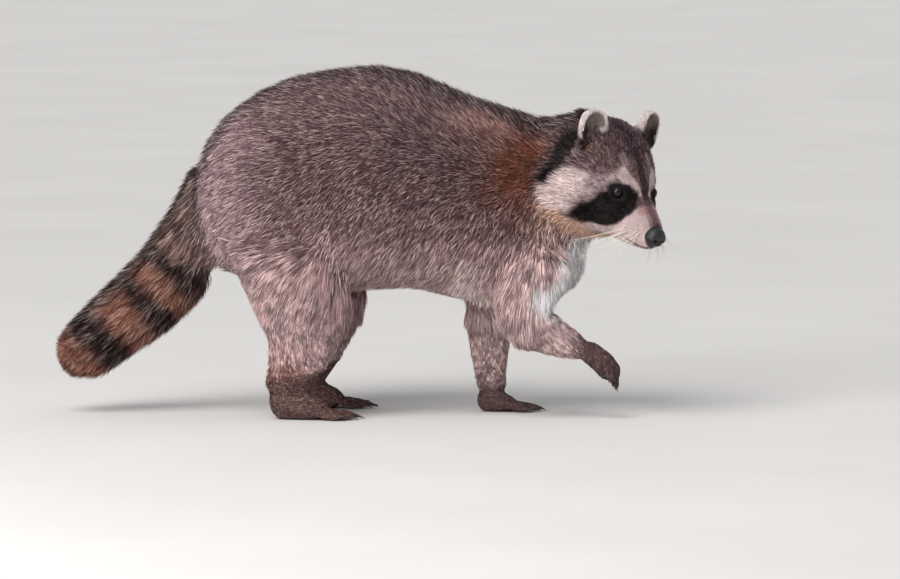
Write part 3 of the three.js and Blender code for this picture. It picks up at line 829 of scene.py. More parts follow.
def lie_of_coat():
    """The way the hair points at each point of the skin."""
    p, n = skin_hull, skin_normals
    head = to_head(p)
    hand = np.sign(head[:, [1]])
    flank = lie_on_side(p)
    ruff, face = ruff_share(head)[:, None], face_share(head)[:, None]
    one = np.ones((len(p), 1))
    face_way = np.hstack([-one, 0.25 * hand, -0.25 * ease(0, -25, head[:, [2]])])
    ruff_way = np.hstack([-one, 0.30 * hand, -0.45 * one])
    crown_way = np.hstack([-one, 0.1 * hand, 0.05 * one])
    on_head = mix(mix(crown_way, face_way, face), ruff_way, ruff)
    for side in HANDS.values():
        centre, gaze, _, _ = eye_axes(side)
        away = head - centre - gaze * 6
        share = ease(17, 9, np.linalg.norm(away, axis=1))[:, None]
        on_head = mix(on_head, unit(away), share * 0.75)
    on_head = on_head @ HEAD_AXES.T
    up_ear = np.hstack([-0.3 * one, 0.15 * hand, one]) @ HEAD_AXES.T
    along, tail_way, out = tail_measure(p)
    centre = {n_: middle(n_) for n_ in NODES}

    def limb(upper, lower):
        """From one node's middle to the other's, for each point the limb on its own side."""
        ways = [unit(centre[lower.format(s)] - centre[upper.format(s)]) for s in ("left", "right")]
        return np.where((p[:, 1] > BETWEEN_LEGS)[:, None], *ways)

    fore_paw = np.where((p[:, 1] > BETWEEN_LEGS)[:, None],
                        unit(np.array([1, 0, -0.4])), unit(np.array([0.5, 0, -1])))
    standing = (p[:, 1] > BETWEEN_LEGS)[:, None]
    forearm = (limb("foreleg_{}_lower", "foreleg_{}_paw") * np.where(standing, 1, 0.6)
               + np.where(standing, (0, 0, -0.25), (0, 0, -0.6)))
    ways = dict(
        trunk=flank, neck=flank, head=on_head, ear=up_ear, nose=head_way((-1, 0, 0)) * one,
        tail=tail_way, hind_upper=flank,
        hind_lower=limb("hindleg_{}_lower", "hindleg_{}_paw") + (-0.05, 0, -0.1),
        hind_paw=np.tile(unit(np.array([1, 0, -0.35])), (len(p), 1)),
        fore_upper=flank + (0, 0, -0.1), fore_lower=forearm, fore_paw=fore_paw,
    )
    way = sum(unit(ways[g]) * skin_shares[:, [G[g]]] for g in GROUPS)
    for _ in range(80):
        way = unit(way - dot(way, n) * n)
        way = 0.4 * way + 0.6 * skin_web.mean(way)
    return unit(way - dot(way, n) * n)


skin_way = lie_of_coat()
skin_head = to_head(skin_hull)
skin_inside = skin_web.blur(
    ear_inside(to_head(skin_points), skin_normals @ HEAD_AXES) * skin_shares[:, G["ear"]], 7)
skin_down = skin_web.blur(-skin_normals[:, 2], 6)


# ---------------------------------------------------------------- materials

def new_material(name):
    material = bpy.data.materials.new(name)
    material.use_nodes = True
    tree = material.node_tree
    tree.nodes.clear()
    output = tree.nodes.new("ShaderNodeOutputMaterial")
    shader = tree.nodes.new("ShaderNodeBsdfPrincipled")
    tree.links.new(shader.outputs["BSDF"], output.inputs["Surface"])

    def node(kind, sockets=None, **settings):
        made = tree.nodes.new("ShaderNode" + kind)
        for key, value in settings.items():
            setattr(made, key, value)
        for key, value in (sockets or {}).items():
            if isinstance(value, bpy.types.NodeSocket):
                tree.links.new(value, made.inputs[key])
            else:
                made.inputs[key].default_value = value
        return made

    return material, shader, node, tree


def ramp_of(node, factor, stops):
    """A colour ramp from grey levels or colours."""
    made = node("ValToRGB", {"Fac": factor})
    elements = made.color_ramp.elements
    while len(elements) < len(stops):
        elements.new(0.5)
    for element, (place, value) in zip(elements, stops):
        element.position = place
        level = (value,) * 3 if np.isscalar(value) else tuple(value)
        element.color = (*level, 1)
    return made.outputs["Color"]


def coat_material(name, roughness, gloss, along_stops):
    """Hair: the tuft's own colour, darker at the root, with fine bands and a little change between places."""
    material, shader, node, tree = new_material(name)
    colour = node("Attribute", attribute_name="coat").outputs["Color"]
    along = node("Attribute", attribute_name="along").outputs["Fac"]
    place = node("TexCoord").outputs["Object"]
    patches = node("TexNoise", {"Vector": place, "Scale": 55, "Detail": 3}).outputs["Fac"]
    fine = node("TexNoise", {"Vector": place, "Scale": 900, "Detail": 2}).outputs["Fac"]
    shade = ramp_of(node, along, along_stops)
    patchy = ramp_of(node, patches, [(0.3, 0.86), (0.7, 1.14)])
    flecked = ramp_of(node, fine, [(0.3, 0.84), (0.7, 1.16)])
    out = colour
    for factor in (shade, patchy, flecked):
        mixed = node("Mix", data_type="RGBA", blend_type="MULTIPLY")
        mixed.inputs["Factor"].default_value = 1
        tree.links.new(out, mixed.inputs["A"])
        tree.links.new(factor, mixed.inputs["B"])
        out = mixed.outputs["Result"]
    tree.links.new(out, shader.inputs["Base Color"])
    rough = node(
        "MapRange", {"Value": fine, "To Min": roughness - 0.08, "To Max": roughness + 0.08}).outputs["Result"]
    tree.links.new(rough, shader.inputs["Roughness"])
    shader.inputs["Specular IOR Level"].default_value = gloss
    return material


def skin_material():
    """Skin under the coat: the same markings with painted shade from the coat over them, flat hair as fine
    relief, and bare leathery pads and lids.
    """
    material, shader, node, tree = new_material("skin_and_underfur")
    colour = node("Attribute", attribute_name="coat").outputs["Color"]
    bare = node("Attribute", attribute_name="bare").outputs["Fac"]
    place = node("TexCoord").outputs["Object"]
    hair = node("TexNoise", {"Vector": place, "Scale": 1300, "Detail": 4, "Roughness": 0.7}).outputs["Fac"]
    leather = node(
        "TexVoronoi", {"Vector": place, "Scale": 900}, feature="DISTANCE_TO_EDGE").outputs["Distance"]
    flecks = ramp_of(node, hair, [(0.3, 0.62), (0.7, 1.35)])
    mixed = node("Mix", data_type="RGBA", blend_type="MULTIPLY")
    mixed.inputs["Factor"].default_value = 0.8
    tree.links.new(colour, mixed.inputs["A"])
    tree.links.new(flecks, mixed.inputs["B"])
    tree.links.new(mixed.outputs["Result"], shader.inputs["Base Color"])
    rough = node("MapRange", {"Value": bare, "To Min": 0.85, "To Max": 0.42}).outputs["Result"]
    tree.links.new(rough, shader.inputs["Roughness"])
    height = node("Mix", data_type="FLOAT")
    tree.links.new(bare, height.inputs["Factor"])
    tree.links.new(hair, height.inputs["A"])
    tree.links.new(ramp_of(node, leather, [(0.0, 0.0), (0.25, 1.0)]), height.inputs["B"])
    bump = node("Bump", {"Strength": 0.5, "Distance": 0.0006})
    tree.links.new(height.outputs["Result"], bump.inputs["Height"])
    tree.links.new(bump.outputs["Normal"], shader.inputs["Normal"])
    shader.inputs["Specular IOR Level"].default_value = 0.2
    return material


ROOT_TO_TIP = [(0.0, 0.35), (0.45, 0.6), (0.62, 0.95), (0.78, 1.22), (0.92, 1.2), (1.0, 0.9)]
SHORT_TIP = [(0.0, 0.55), (0.5, 0.95), (1.0, 1.05)]
COAT = {
    "fur_grizzled": coat_material("fur_grizzled", 0.62, 0.28, ROOT_TO_TIP),
    "fur_pale": coat_material("fur_pale", 0.64, 0.18, ROOT_TO_TIP),
    "fur_tail": coat_material("fur_tail", 0.66, 0.25, ROOT_TO_TIP),
    "fur_face": coat_material("fur_face", 0.64, 0.15, SHORT_TIP),
    "fur_ear": coat_material("fur_ear", 0.64, 0.2, SHORT_TIP),
    "fur_paw": coat_material("fur_paw", 0.6, 0.2, SHORT_TIP),
}


# ---------------------------------------------------------------- skin piece

def build_skin():
    tone, _ = marks(skin_hull, skin_shares, skin_inside, skin_down)
    # painted shade: the skin is made darker where long hair lies over it, so the gaps in the coat look
    # shadowed
    long_hair_shade = skin_web.blur((np.linalg.norm(skin_hull - skin_points, axis=1) > 3.5).astype(float), 6)
    tone = tone * mix(0.95, 0.5, long_hair_shade)[:, None]
    paws = skin_shares[:, G["fore_paw"]] + skin_shares[:, G["hind_paw"]]
    sole = paws * ease(0.55, 0.85, skin_down)
    lids = np.zeros(len(skin_points))
    head = to_head(skin_points)
    for hand in HANDS.values():
        reach, r = eye_reach(head, hand)
        lids = np.maximum(lids, ease(1.55, 1.25, reach) * (r < 16))
    tone = mix(tone, COLOUR["pad"], sole[:, None])
    tone = mix(tone, COLOUR["mask"] * 0.6, lids[:, None])
    bare = np.clip(sole + lids + skin_shares[:, G["nose"]], 0, 1)
    skin = make_mesh(
        "skin", skin_points, skin_triangles, skin_material(), colours=tone, numbers={"bare": bare})
    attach(skin, "root")
    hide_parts(*FLESH)


build_skin()


# ---------------------------------------------------------------- coat

def unwrap(triangles):
    """A flat layout of these skin triangles by their own shape: one (u, v) for each corner."""
    used, renumbered = np.unique(triangles, return_inverse=True)
    sheet = make_mesh("layout", skin_points[used], renumbered.reshape(-1, 3), None)
    sheet.data.uv_layers.new(name="layout")
    bpy.context.view_layer.objects.active = sheet
    sheet.select_set(True)
    bpy.ops.object.mode_set(mode="EDIT")
    bpy.ops.mesh.select_all(action="SELECT")
    bpy.ops.uv.smart_project(angle_limit=math.radians(66), island_margin=0.004, scale_to_bounds=False)
    bpy.ops.object.mode_set(mode="OBJECT")
    uv = np.empty(len(sheet.data.loops) * 2, np.float32)
    sheet.data.uv_layers[0].uv.foreach_get("vector", uv)
    mesh = sheet.data
    bpy.data.objects.remove(sheet)
    bpy.data.meshes.remove(mesh)
    return uv.reshape(-1, 3, 2).astype(float)


def sow(chosen, density, rng):
    """Roots spread evenly over the chosen triangles: their triangle and their place in it."""
    a, b, c = (skin_points[skin_triangles[chosen, k]] for k in range(3))
    area = np.linalg.norm(np.cross(b - a, c - a), axis=1) / 2
    weight = np.cumsum(area * density[skin_triangles[chosen]].mean(1) * COAT_SHARE)
    count = int(weight[-1])
    at = (np.arange(count) + rng.random(count)) * (weight[-1] / count)
    row = np.minimum(np.searchsorted(weight, at), len(chosen) - 1)
    u, v = rng.random(count), rng.random(count)
    over = u + v > 1
    u, v = np.where(over, 1 - u, u), np.where(over, 1 - v, v)
    return row, np.stack([1 - u - v, u, v], 1)


def lock_centres(roots, spacing, rng):
    """For each root the number of the lock it belongs to: the nearest of a thinned-out choice of roots."""
    count = max(1, int(len(roots) / max(1.0, spacing)))
    picked = rng.choice(len(roots), count, replace=False)
    tree = KDTree(count)
    for k, i in enumerate(picked):
        tree.insert(roots[i], k)
    tree.balance()
    return np.array([tree.find(p)[1] for p in roots])


def lock_mean(values, lock):
    count = lock.max() + 1
    size = np.bincount(lock, minlength=count)[:, None]
    total = np.stack([np.bincount(lock, values[:, k], count) for k in range(values.shape[1])], 1)
    return (total / np.maximum(size, 1))[lock]


PATCH = 0.003  # width of a tuft's own patch of the baking map
GUARD = 0.15  # share of longer hairs that stand higher than the rest


OUTLINE_TREE = KDTree(len(skin_hull))
for number, place in enumerate(skin_hull):
    OUTLINE_TREE.insert(place, number)
OUTLINE_TREE.balance()
OUTLINE_NORMALS = unit(skin_web.blur(normals_of(skin_hull, skin_triangles), 3))


def settle(tip, normal, over, share):
    """Tips kept to the outline where the body bends: `over` is how far they stand above their roots."""
    found = np.array([OUTLINE_TREE.find(p)[1] for p in tip])
    there, out = skin_hull[found], OUTLINE_NORMALS[found]
    now = dot(tip - there, out)
    change = np.minimum(over - now, 1) * share * (dot(normal, out) > 0.3)
    change = change - np.maximum(now + change - 3.5, 0)
    return tip + out * change


def grow(name, slot, chosen, seed, clump, per_lock, own=0.7, jitter=0.16, spread=30, lift=1.0):
    """One piece of coat on the chosen skin triangles. Each tuft is a thin leaf: root, two sides and tip."""
    rng = np.random.default_rng(SEED + seed)
    row, weights = sow(chosen, skin_density, rng)
    corners = skin_triangles[chosen[row]]

    def at_root(values):
        picked = values[corners]
        return (picked * (weights[:, :, None] if values.ndim > 1 else weights)).sum(1)

    root, hull, normal = at_root(skin_points), at_root(skin_hull), unit(at_root(skin_normals))
    shares, way = at_root(skin_shares), unit(at_root(skin_way))
    length, high, wide, hang = (at_root(v) for v in (skin_length, skin_height, skin_wide, skin_hang))
    inside, down, streak, settled = (at_root(v) for v in (skin_inside, skin_down, skin_streak, skin_settled))
    count = len(root)
    guard = rng.random(count) < GUARD
    length = length * rng.uniform(0.7, 1.1, count) * np.where(guard, 1.15, 1)
    high = high * lift * rng.uniform(0.4, 1.08, count) * np.where(guard, 1.35, 1)
    high = np.minimum(high, length * 0.85)
    side = np.cross(way, normal)
    way = unit(way + side * rng.normal(0, jitter, (count, 1)) + side * (ripple(root, 16, 7) * 0.14)[:, None])
    reach = np.sqrt(np.maximum(length**2 - high**2, 1))[:, None]
    high = high[:, None]
    over = high - np.linalg.norm(hull - root, axis=1)[:, None]
    tip = settle(root + way * reach + normal * high, normal, over, settled[:, None])
    half = root + (tip - normal * high - root) * 0.56 + normal * high * 0.74
    tip[:, 2] -= hang * rng.uniform(0.3, 1.2, count)
    half[:, 2] -= hang * 0.3
    lock = lock_centres(root, per_lock, rng)
    pull = (mix(clump * 0.5, clump, streak) * rng.uniform(0.5, 1.0, count))[:, None]
    tip = tip + (lock_mean(tip, lock) - tip) * pull
    half = half + (lock_mean(half, lock) - half) * pull * 0.5

    pick = mix(rng.random(lock.max() + 1)[lock], rng.random(count), own)
    pick = np.clip(0.5 + (pick - 0.5) * 1.35, 0, 1)
    lying = np.clip(1 - high / np.maximum(np.linalg.norm(hull - root, axis=1)[:, None], 1), 0, 1)
    seen = mix(root, tip, 0.75 if length.mean() > 12 else 0.5) + (hull - root) * lying * 0.5
    tone, grizzle = marks(seen, shares / shares.sum(1, keepdims=True), inside, down)
    tone = tone * (1 + grizzle * (pick**1.4 * 1.05 - 0.45) * mix(1, 1.5, streak))[:, None]
    pale = (grizzle * ease(0.62, 0.9, pick))[:, None]
    streaked = mix(0.35, 0.7, streak)[:, None]
    body = mix(tone, COLOUR["pale_tip"], pale * streaked)
    end = mix(tone * mix(0.5, 1.0, ease(0.15, 0.5, pick))[:, None], COLOUR["pale_tip"], pale * 0.6)
    end = np.where((guard & (pick < 0.6))[:, None], tone * 0.45, end)
    base = mix(tone * 0.6, COLOUR["under"] * 0.7, (grizzle * 0.6)[:, None])

    turn = np.radians(rng.normal(0, spread, count))[:, None]
    line = unit(tip - root)
    flat = unit(np.cross(line, normal))
    flat = flat * np.cos(turn) + np.cross(flat, line) * np.sin(turn)
    half_width = (wide * rng.uniform(0.7, 1.25, count) * np.where(guard, 0.6, 1) / 2)[:, None]
    points = np.stack([root - normal * 0.4, half - flat * half_width, half + flat * half_width, tip], 1)
    low = points[:, :, 2]
    low[low < 0.3] = 0.3
    first = (np.arange(count) * 4)[:, None]
    faces = np.stack([first + (0, 2, 1), first + (2, 3, 1)], 1).reshape(-1, 3)
    colours = np.stack([base, body, body, end], 1).reshape(-1, 3)
    middle_place = mix(0.56, 0.72, streak)
    along = np.stack([np.zeros(count), middle_place, middle_place, np.ones(count)], 1).ravel()
    piece = make_mesh(
        name, points.reshape(-1, 3), faces, COAT[slot], colours=colours, numbers={"along": along})

    layout = unwrap(skin_triangles[chosen])
    spot = (layout[row] * weights[:, :, None]).sum(1)
    corner = np.array([(0.0, -0.5), (-0.5, 0.06), (0.5, 0.06), (0.0, 0.5)]) * PATCH
    uv = (spot[:, None, :] + corner).reshape(-1, 2)[faces.ravel()]
    piece.data.uv_layers.new(name="OFBake").uv.foreach_set("vector", uv.astype(np.float32).ravel())
    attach(piece, "root")
    print(name, count, "tufts", len(faces), "triangles", "%.2f a mm2" % (count / max(1, tuft_area(chosen))))
    return piece


def tuft_area(chosen):
    a, b, c = (skin_points[skin_triangles[chosen, k]] for k in range(3))
    return np.linalg.norm(np.cross(b - a, c - a), axis=1).sum() / 2


def coat_measures():
    """Hair length, height, width and density, how tips hang, how streaky it lies and how well it settles."""
    face, ruff = face_share(skin_head), ruff_share(skin_head)
    x, a, z = skin_head[:, 0], np.abs(skin_head[:, 1]), skin_head[:, 2]
    on = {g: skin_shares[:, G[g]] for g in GROUPS}
    length = skin_shares @ by_group(HAIR)
    wide = skin_shares @ by_group(THICK)
    dense = skin_shares @ by_group(DENSITY)
    head_length = mix(mix(8, mix(4.6, 2.6, ease(5, 28, x)), face), 24, ruff)
    throat = ease(-38, -58, z) * ease(10, -30, x) * (1 - ruff)
    head_length = mix(head_length, 16, throat)
    head_wide = mix(mix(0.75, 0.5, face), 1.05, ruff)
    head_dense = mix(mix(2.8, 4.6, face), 2.1, ruff)
    length = length + on["head"] * (head_length - HAIR["head"])
    wide = wide + on["head"] * (head_wide - THICK["head"])
    dense = dense + on["head"] * (head_dense - DENSITY["head"])
    big = on["trunk"] + on["fore_upper"] + on["hind_upper"]
    up = skin_hull[:, 2]
    streak = np.clip(ease(250, 170, up) * (big + on["neck"]) + on["hind_lower"] + on["fore_lower"]
                     + on["tail"] * 0.6 + on["head"] * ruff * 0.7, 0, 1)
    length = length * (1 + 0.35 * ease(215, 150, up) * big)
    along, left = skin_hull[:, 0] - SHIFT[0], skin_hull[:, 1] > BETWEEN_LEGS
    length = length + 14 * np.exp(-(((along - 140) / 30) ** 2)) * ease(170, 135, up) * big
    length = length - (HAIR["hind_lower"] - 6) * ease(95, 25, up) * on["hind_lower"]
    length = (length - (HAIR["fore_lower"] - 6)
              * np.where(left, ease(110, 30, up), ease(214, 238, along)) * on["fore_lower"])
    high = np.linalg.norm(skin_hull - skin_points, axis=1)
    high = high + 5 * np.exp(-(((along - 186) / 22) ** 2)) * ease(285, 310, up) * on["neck"]
    hang = 10 * ease(195, 145, up) * big * ease(0.5, -0.2, skin_down) + 7 * throat * on["head"]
    settled = (mix(1, 0.35, streak) * (1 - 0.75 * ease(180, 155, up) * big)
               * (1 - 0.45 * ease(290, 330, up) * on["trunk"]))
    by_ear = ease(0.01, 0.12, skin_web.blur(on["ear"], 24)) * (1 - on["ear"])
    length = mix(length, np.minimum(length, 7), by_ear)
    high = mix(high, np.minimum(high, 4), by_ear)
    rim = np.clip(4 * skin_inside * (1 - skin_inside), 0, 1) * on["ear"]
    length = length + 3 * rim + 3 * on["ear"] * ease(0.4, 0.1, skin_inside)
    dense = dense * (1 + 0.6 * rim) * (1 - 0.45 * ease(0.5, 0.9, skin_inside))
    high = high + 1.8 * rim
    clear = np.zeros(len(skin_points))
    spot = to_head(skin_points)
    for hand in HANDS.values():
        reach, r = eye_reach(spot, hand)
        clear = np.maximum(clear, ((reach < 1.36) & (r < 20)).astype(float))
    nose = np.linalg.norm((spot - NOSE_AT - NOSE_SHIFT) / NOSE_HALF, axis=1) < 1.1
    lips = line_distance(mirrored(spot), MOUTH)[0] < 0.9
    sole = (on["fore_paw"] + on["hind_paw"]) * ease(0.5, 0.8, skin_down)
    dense = dense * (1 - clear) * ~nose * ~lips * (1 - sole)
    return length, high, wide, dense, hang, streak, settled


skin_length, skin_height, skin_wide, skin_density, skin_hang, skin_streak, skin_settled = coat_measures()


def coat_pieces():
    """Which skin triangles each piece of coat grows from."""
    group = skin_shares[skin_triangles].mean(1).argmax(1)
    centre = skin_hull[skin_triangles].mean(1)
    face = face_share(to_head(centre)) > 0.5
    left = centre[:, 1] > 0
    rump, chest = centre[:, 0] < -40, centre[:, 0] > 60
    trunk = (group == G["trunk"])
    nape = (group == G["neck"]) | (trunk & chest)

    def chosen(*names):
        return np.isin(group, [G[n] for n in names])

    sleek, shaggy = (
        dict(clump=0.32, per_lock=12, own=0.75, jitter=0.27), dict(clump=0.5, per_lock=18, own=0.38))
    close = dict(clump=0.2, per_lock=9, own=0.75, jitter=0.2, spread=35)
    return [
        ("coat_rump_left", "fur_grizzled", trunk & rump & left, sleek),
        ("coat_rump_right", "fur_grizzled", trunk & rump & ~left, sleek),
        ("coat_flank_left", "fur_grizzled", trunk & ~rump & ~chest & left, sleek),
        ("coat_flank_right", "fur_grizzled", trunk & ~rump & ~chest & ~left, sleek),
        ("coat_shoulder_left", "fur_grizzled", nape & left, sleek),
        ("coat_shoulder_right", "fur_grizzled", nape & ~left, sleek),
        ("coat_hindlegs", "fur_grizzled", chosen("hind_upper", "hind_lower"), shaggy),
        ("coat_forelegs", "fur_grizzled", chosen("fore_upper", "fore_lower"), shaggy),
        ("coat_tail", "fur_tail", chosen("tail"), shaggy),
        ("coat_face", "fur_face", chosen("head") & face, close),
        ("coat_ruff", "fur_pale", chosen("head") & ~face, dict(clump=0.3, per_lock=12, own=0.7)),
        ("coat_ears", "fur_ear", chosen("ear"), close),
        ("coat_paws", "fur_paw", chosen("fore_paw", "hind_paw"), close),
    ]


for number, (piece_name, piece_slot, picked, options) in enumerate(coat_pieces()):
    grow(piece_name, piece_slot, np.nonzero(picked)[0], number, **options)


# ---------------------------------------------------------------- eyes

def ball_grid(rings, sides):
    """A closed ball's directions with its pole along +X, the angle from that pole, and its triangles."""
    polar = np.linspace(0, math.pi, rings + 1)[1:-1]
    turn = np.arange(sides) * 2 * math.pi / sides
    p, t = np.meshgrid(polar, turn, indexing="ij")
    ring = np.stack([np.cos(p), np.sin(p) * np.cos(t), np.sin(p) * np.sin(t)], -1).reshape(-1, 3)
    ways = np.vstack([[(1, 0, 0)], ring, [(-1, 0, 0)]])
    angle = np.concatenate([[0], p.ravel(), [math.pi]])
    start = 1 + np.arange(rings - 2)[:, None] * sides
    here, after = np.arange(sides), (np.arange(sides) + 1) % sides
    a, b, c, d = start + here, start + after, start + sides + here, start + sides + after
    body = np.concatenate([np.stack([a, c, d], -1).reshape(-1, 3), np.stack([a, d, b], -1).reshape(-1, 3)])
    last = len(ways) - 1
    first_cap = np.stack([np.zeros(sides, int), 1 + here, 1 + after], 1)
    end_cap = np.stack([np.full(sides, last), last - sides + after, last - sides + here], 1)
    return ways, angle, np.vstack([first_cap, body, end_cap])


def eye_material():
    """A dark wet eye: black pupil, near-black iris with fine spokes, darker rim, clear gloss over all."""
    material, shader, node, tree = new_material("eye_gloss")
    polar = node("Attribute", attribute_name="polar").outputs["Fac"]
    place = node("TexCoord").outputs["Object"]
    spokes = node("TexNoise", {"Vector": place, "Scale": 1500, "Detail": 3}).outputs["Fac"]
    streaked = node(
        "Math",
        {0: polar, 1: node("MapRange", {"Value": spokes, "To Min": -0.02, "To Max": 0.02}).outputs[0]},
        operation="ADD").outputs[0]
    colour = ramp_of(node, streaked, [
        (0.0, srgb(3, 2, 2)), (0.17, srgb(4, 3, 3)), (0.2, srgb(20, 12, 8)), (0.27, srgb(14, 8, 6)),
        (0.32, srgb(5, 3, 3)), (0.6, srgb(8, 6, 6)),
    ])
    tree.links.new(colour, shader.inputs["Base Color"])
    rough = node("MapRange", {"Value": spokes, "To Min": 0.05, "To Max": 0.09}).outputs[0]
    tree.links.new(rough, shader.inputs["Roughness"])
    shader.inputs["IOR"].default_value = 1.45
    return material


def build_eyes():
    ways, angle, triangles = ball_grid(40, 48)
    material = eye_material()
    bulge = 0.75 * ease(0.75, 0.25, angle)  # the cornea
    for name, hand in HANDS.items():
        centre, gaze, outward, up = eye_axes(hand)
        axes = np.stack([gaze, outward, up])
        points = centre + (ways @ axes) * (EYE_RADIUS - 0.25 + bulge)[:, None]
        order = triangles if np.linalg.det(axes) > 0 else triangles[:, ::-1]
        eye = make_mesh(
            "eyeball_" + name, from_head(points), order, material, numbers={"polar": angle / math.pi})
        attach(eye, "root")
        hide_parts("eye_" + name)


build_eyes()


# ---------------------------------------------------------------- nose

def nose_material():
    """Moist black rubbery skin with a pebbled surface."""
    material, shader, node, tree = new_material("nose_skin")
    place = node("TexCoord").outputs["Object"]
    pebbles = node(
        "TexVoronoi", {"Vector": place, "Scale": 1100}, feature="DISTANCE_TO_EDGE").outputs["Distance"]
    clouds = node("TexNoise", {"Vector": place, "Scale": 160, "Detail": 3}).outputs["Fac"]
    colour = ramp_of(node, clouds, [(0.3, srgb(6, 5, 7)), (0.7, srgb(16, 14, 19))])
    tree.links.new(colour, shader.inputs["Base Color"])
    rough = node("MapRange", {"Value": clouds, "To Min": 0.24, "To Max": 0.38}).outputs[0]
    tree.links.new(rough, shader.inputs["Roughness"])
    bump = node("Bump", {"Strength": 0.45, "Distance": 0.0003})
    tree.links.new(ramp_of(node, pebbles, [(0.0, 0.0), (0.22, 1.0)]), bump.inputs["Height"])
    tree.links.new(bump.outputs["Normal"], shader.inputs["Normal"])
    shader.inputs["Coat Weight"].default_value = 0.15
    shader.inputs["Coat Roughness"].default_value = 0.2
    return material


def build_nose():
    ways, angle, triangles = ball_grid(72, 96)
    x, y, z = ways.T
    a = np.abs(y)
    radius = np.ones(len(ways))
    radius -= 0.13 * ease(0.75, 1.0, x)  # blunt front
    nostril = (np.exp(-(((a - 0.42) / 0.15) ** 2 + ((z + 0.10 - 0.35 * (a - 0.42)) / 0.17) ** 2))
               * ease(0.2, 0.5, x))
    slit = (np.exp(-(((z + 0.32 - 0.25 * (a - 0.5)) / 0.07) ** 2))
            * ease(0.40, 0.5, a) * ease(0.98, 0.8, a) * ease(-0.1, 0.2, x))
    wing = np.exp(-(((a - 0.66) / 0.16) ** 2 + ((z - 0.08) / 0.28) ** 2)) * ease(0.0, 0.35, x)
    groove = np.exp(-((a / 0.06) ** 2)) * ease(0.25, -0.05, z) * ease(-0.1, 0.3, x)
    radius += 0.07 * wing - 0.42 * nostril - 0.12 * slit - 0.14 * groove
    radius -= 0.20 * ease(-0.35, -1.0, z)  # narrower below
    shape = np.array(NOSE_HALF) * (1.0, 1.0, 0.98)
    points = np.array(NOSE_AT) + NOSE_SHIFT + ways * radius[:, None] * shape
    points[:, 1] *= mix(1, 0.74, ease(-22, -33, points[:, 2]))
    nose = make_mesh("nose_pad", from_head(points), triangles, nose_material())
    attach(nose, "root")
    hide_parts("nose")


build_nose()


# ---------------------------------------------------------------- claws and whiskers

def tube(line, radii, sides, across):
    """Points and triangles of a tapering tube along a line, closed to a point at its end."""
    line = np.asarray(line, float)
    way = unit(np.gradient(line, axis=0))
    first = unit(np.cross(way, across))
    second = np.cross(way, first)
    turn = np.arange(sides) * 2 * math.pi / sides
    ring = first[:, None, :] * np.cos(turn)[None, :, None] + second[:, None, :] * np.sin(turn)[None, :, None]
    points = (line[:, None, :] + ring * np.asarray(radii)[:, None, None]).reshape(-1, 3)
    here, after = np.arange(sides), (np.arange(sides) + 1) % sides
    faces = []
    for k in range(len(line) - 1):
        a, b, c, d = k * sides + here, k * sides + after, (k + 1) * sides + here, (k + 1) * sides + after
        faces += [np.stack([a, b, d], 1), np.stack([a, d, c], 1)]
    cap = len(points)
    points = np.vstack([points, line[0], line[-1] + way[-1] * radii[-1]])
    faces.append(np.stack([np.full(sides, cap), after, here], 1))
    end = (len(line) - 1) * sides
    faces.append(np.stack([np.full(sides, cap + 1), end + here, end + after], 1))
    return points, np.vstack(faces)


def gather(parts):
    """Several tubes as one list of points and faces."""
    points, faces, start = [], [], 0
    for p, f in parts:
        points.append(p)
        faces.append(f + start)
        start += len(p)
    return np.vstack(points), np.vstack(faces)


# A foot's toes: how far each reaches, and how they fan out from the knuckles.
TOE_REACH = (0.72, 0.94, 1, 0.93, 0.7)
OUTER_TOE_TUCK = 0.84  # how far out a hind foot's outer toe starts, as a share of its even place in the fan
FEET = [
    # name, knuckles, forward, out, spread, length, drop
    ("hind_left", (-17, 60, 7), (1, 0, 0), (0, 1, 0), 34, 27, (0, 0, -2.6)),
    ("hind_right", (-31, -60, 7), (1, 0, 0), (0, -1, 0), 34, 27, (0, 0, -2.6)),
    ("fore_left", (164, 24, 7), (1, 0, 0), (0, 1, 0), 29, 26, (0, 0, -2.8)),
    ("fore_right", (264, -63, 53), (0.42, 0, -1), (0.25, 1, 0), 20, 15.5, (-1, 0, 0)),
]


def claw_material():
    """Dark horn with fine paler mottling."""
    material, shader, node, tree = new_material("claw_horn")
    place = node("TexCoord").outputs["Object"]
    streaks = node("TexNoise", {"Vector": place, "Scale": 700, "Detail": 3}).outputs["Fac"]
    colour = ramp_of(node, streaks, [(0.3, srgb(30, 22, 20)), (0.7, srgb(74, 60, 52))])
    tree.links.new(colour, shader.inputs["Base Color"])
    rough = node("MapRange", {"Value": streaks, "To Min": 0.28, "To Max": 0.42}).outputs[0]
    tree.links.new(rough, shader.inputs["Roughness"])
    return material


def build_claws():
    parts = []
    for name, knuckles, forward, out, spread, length, drop in FEET:
        knuckles = np.array(knuckles, float) + SHIFT
        forward, out = unit(np.array(forward, float)), unit(np.array(out, float))
        for i, reach in enumerate(TOE_REACH):
            place = (i / 4 - 0.5) * (OUTER_TOE_TUCK if i == 4 and name.startswith("hind") else 1)
            start = knuckles + out * place * spread - forward * abs(place) * spread * 0.3
            heading = unit(forward + out * place * 0.75)
            along = heading * length * reach + np.array(drop, float)
            t = np.linspace(0, 1, 9)[:, None]
            line = (start + along * (0.86 + 0.46 * t) + np.array([0, 0, -3.0]) * t**2
                    + np.array([0, 0, 1.2]) * (1 - t) * t * 2)
            line[:, 2] = np.maximum(line[:, 2], 1.0)
            parts.append(tube(line, np.maximum(1.75 * (1 - t[:, 0]) ** 0.7, 0.22), 10,
                              unit(np.cross(heading, (0.3, 0, 1)))))
    points, faces = gather(parts)
    claws = make_mesh("claws", points, faces, claw_material())
    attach(claws, "root")


build_claws()


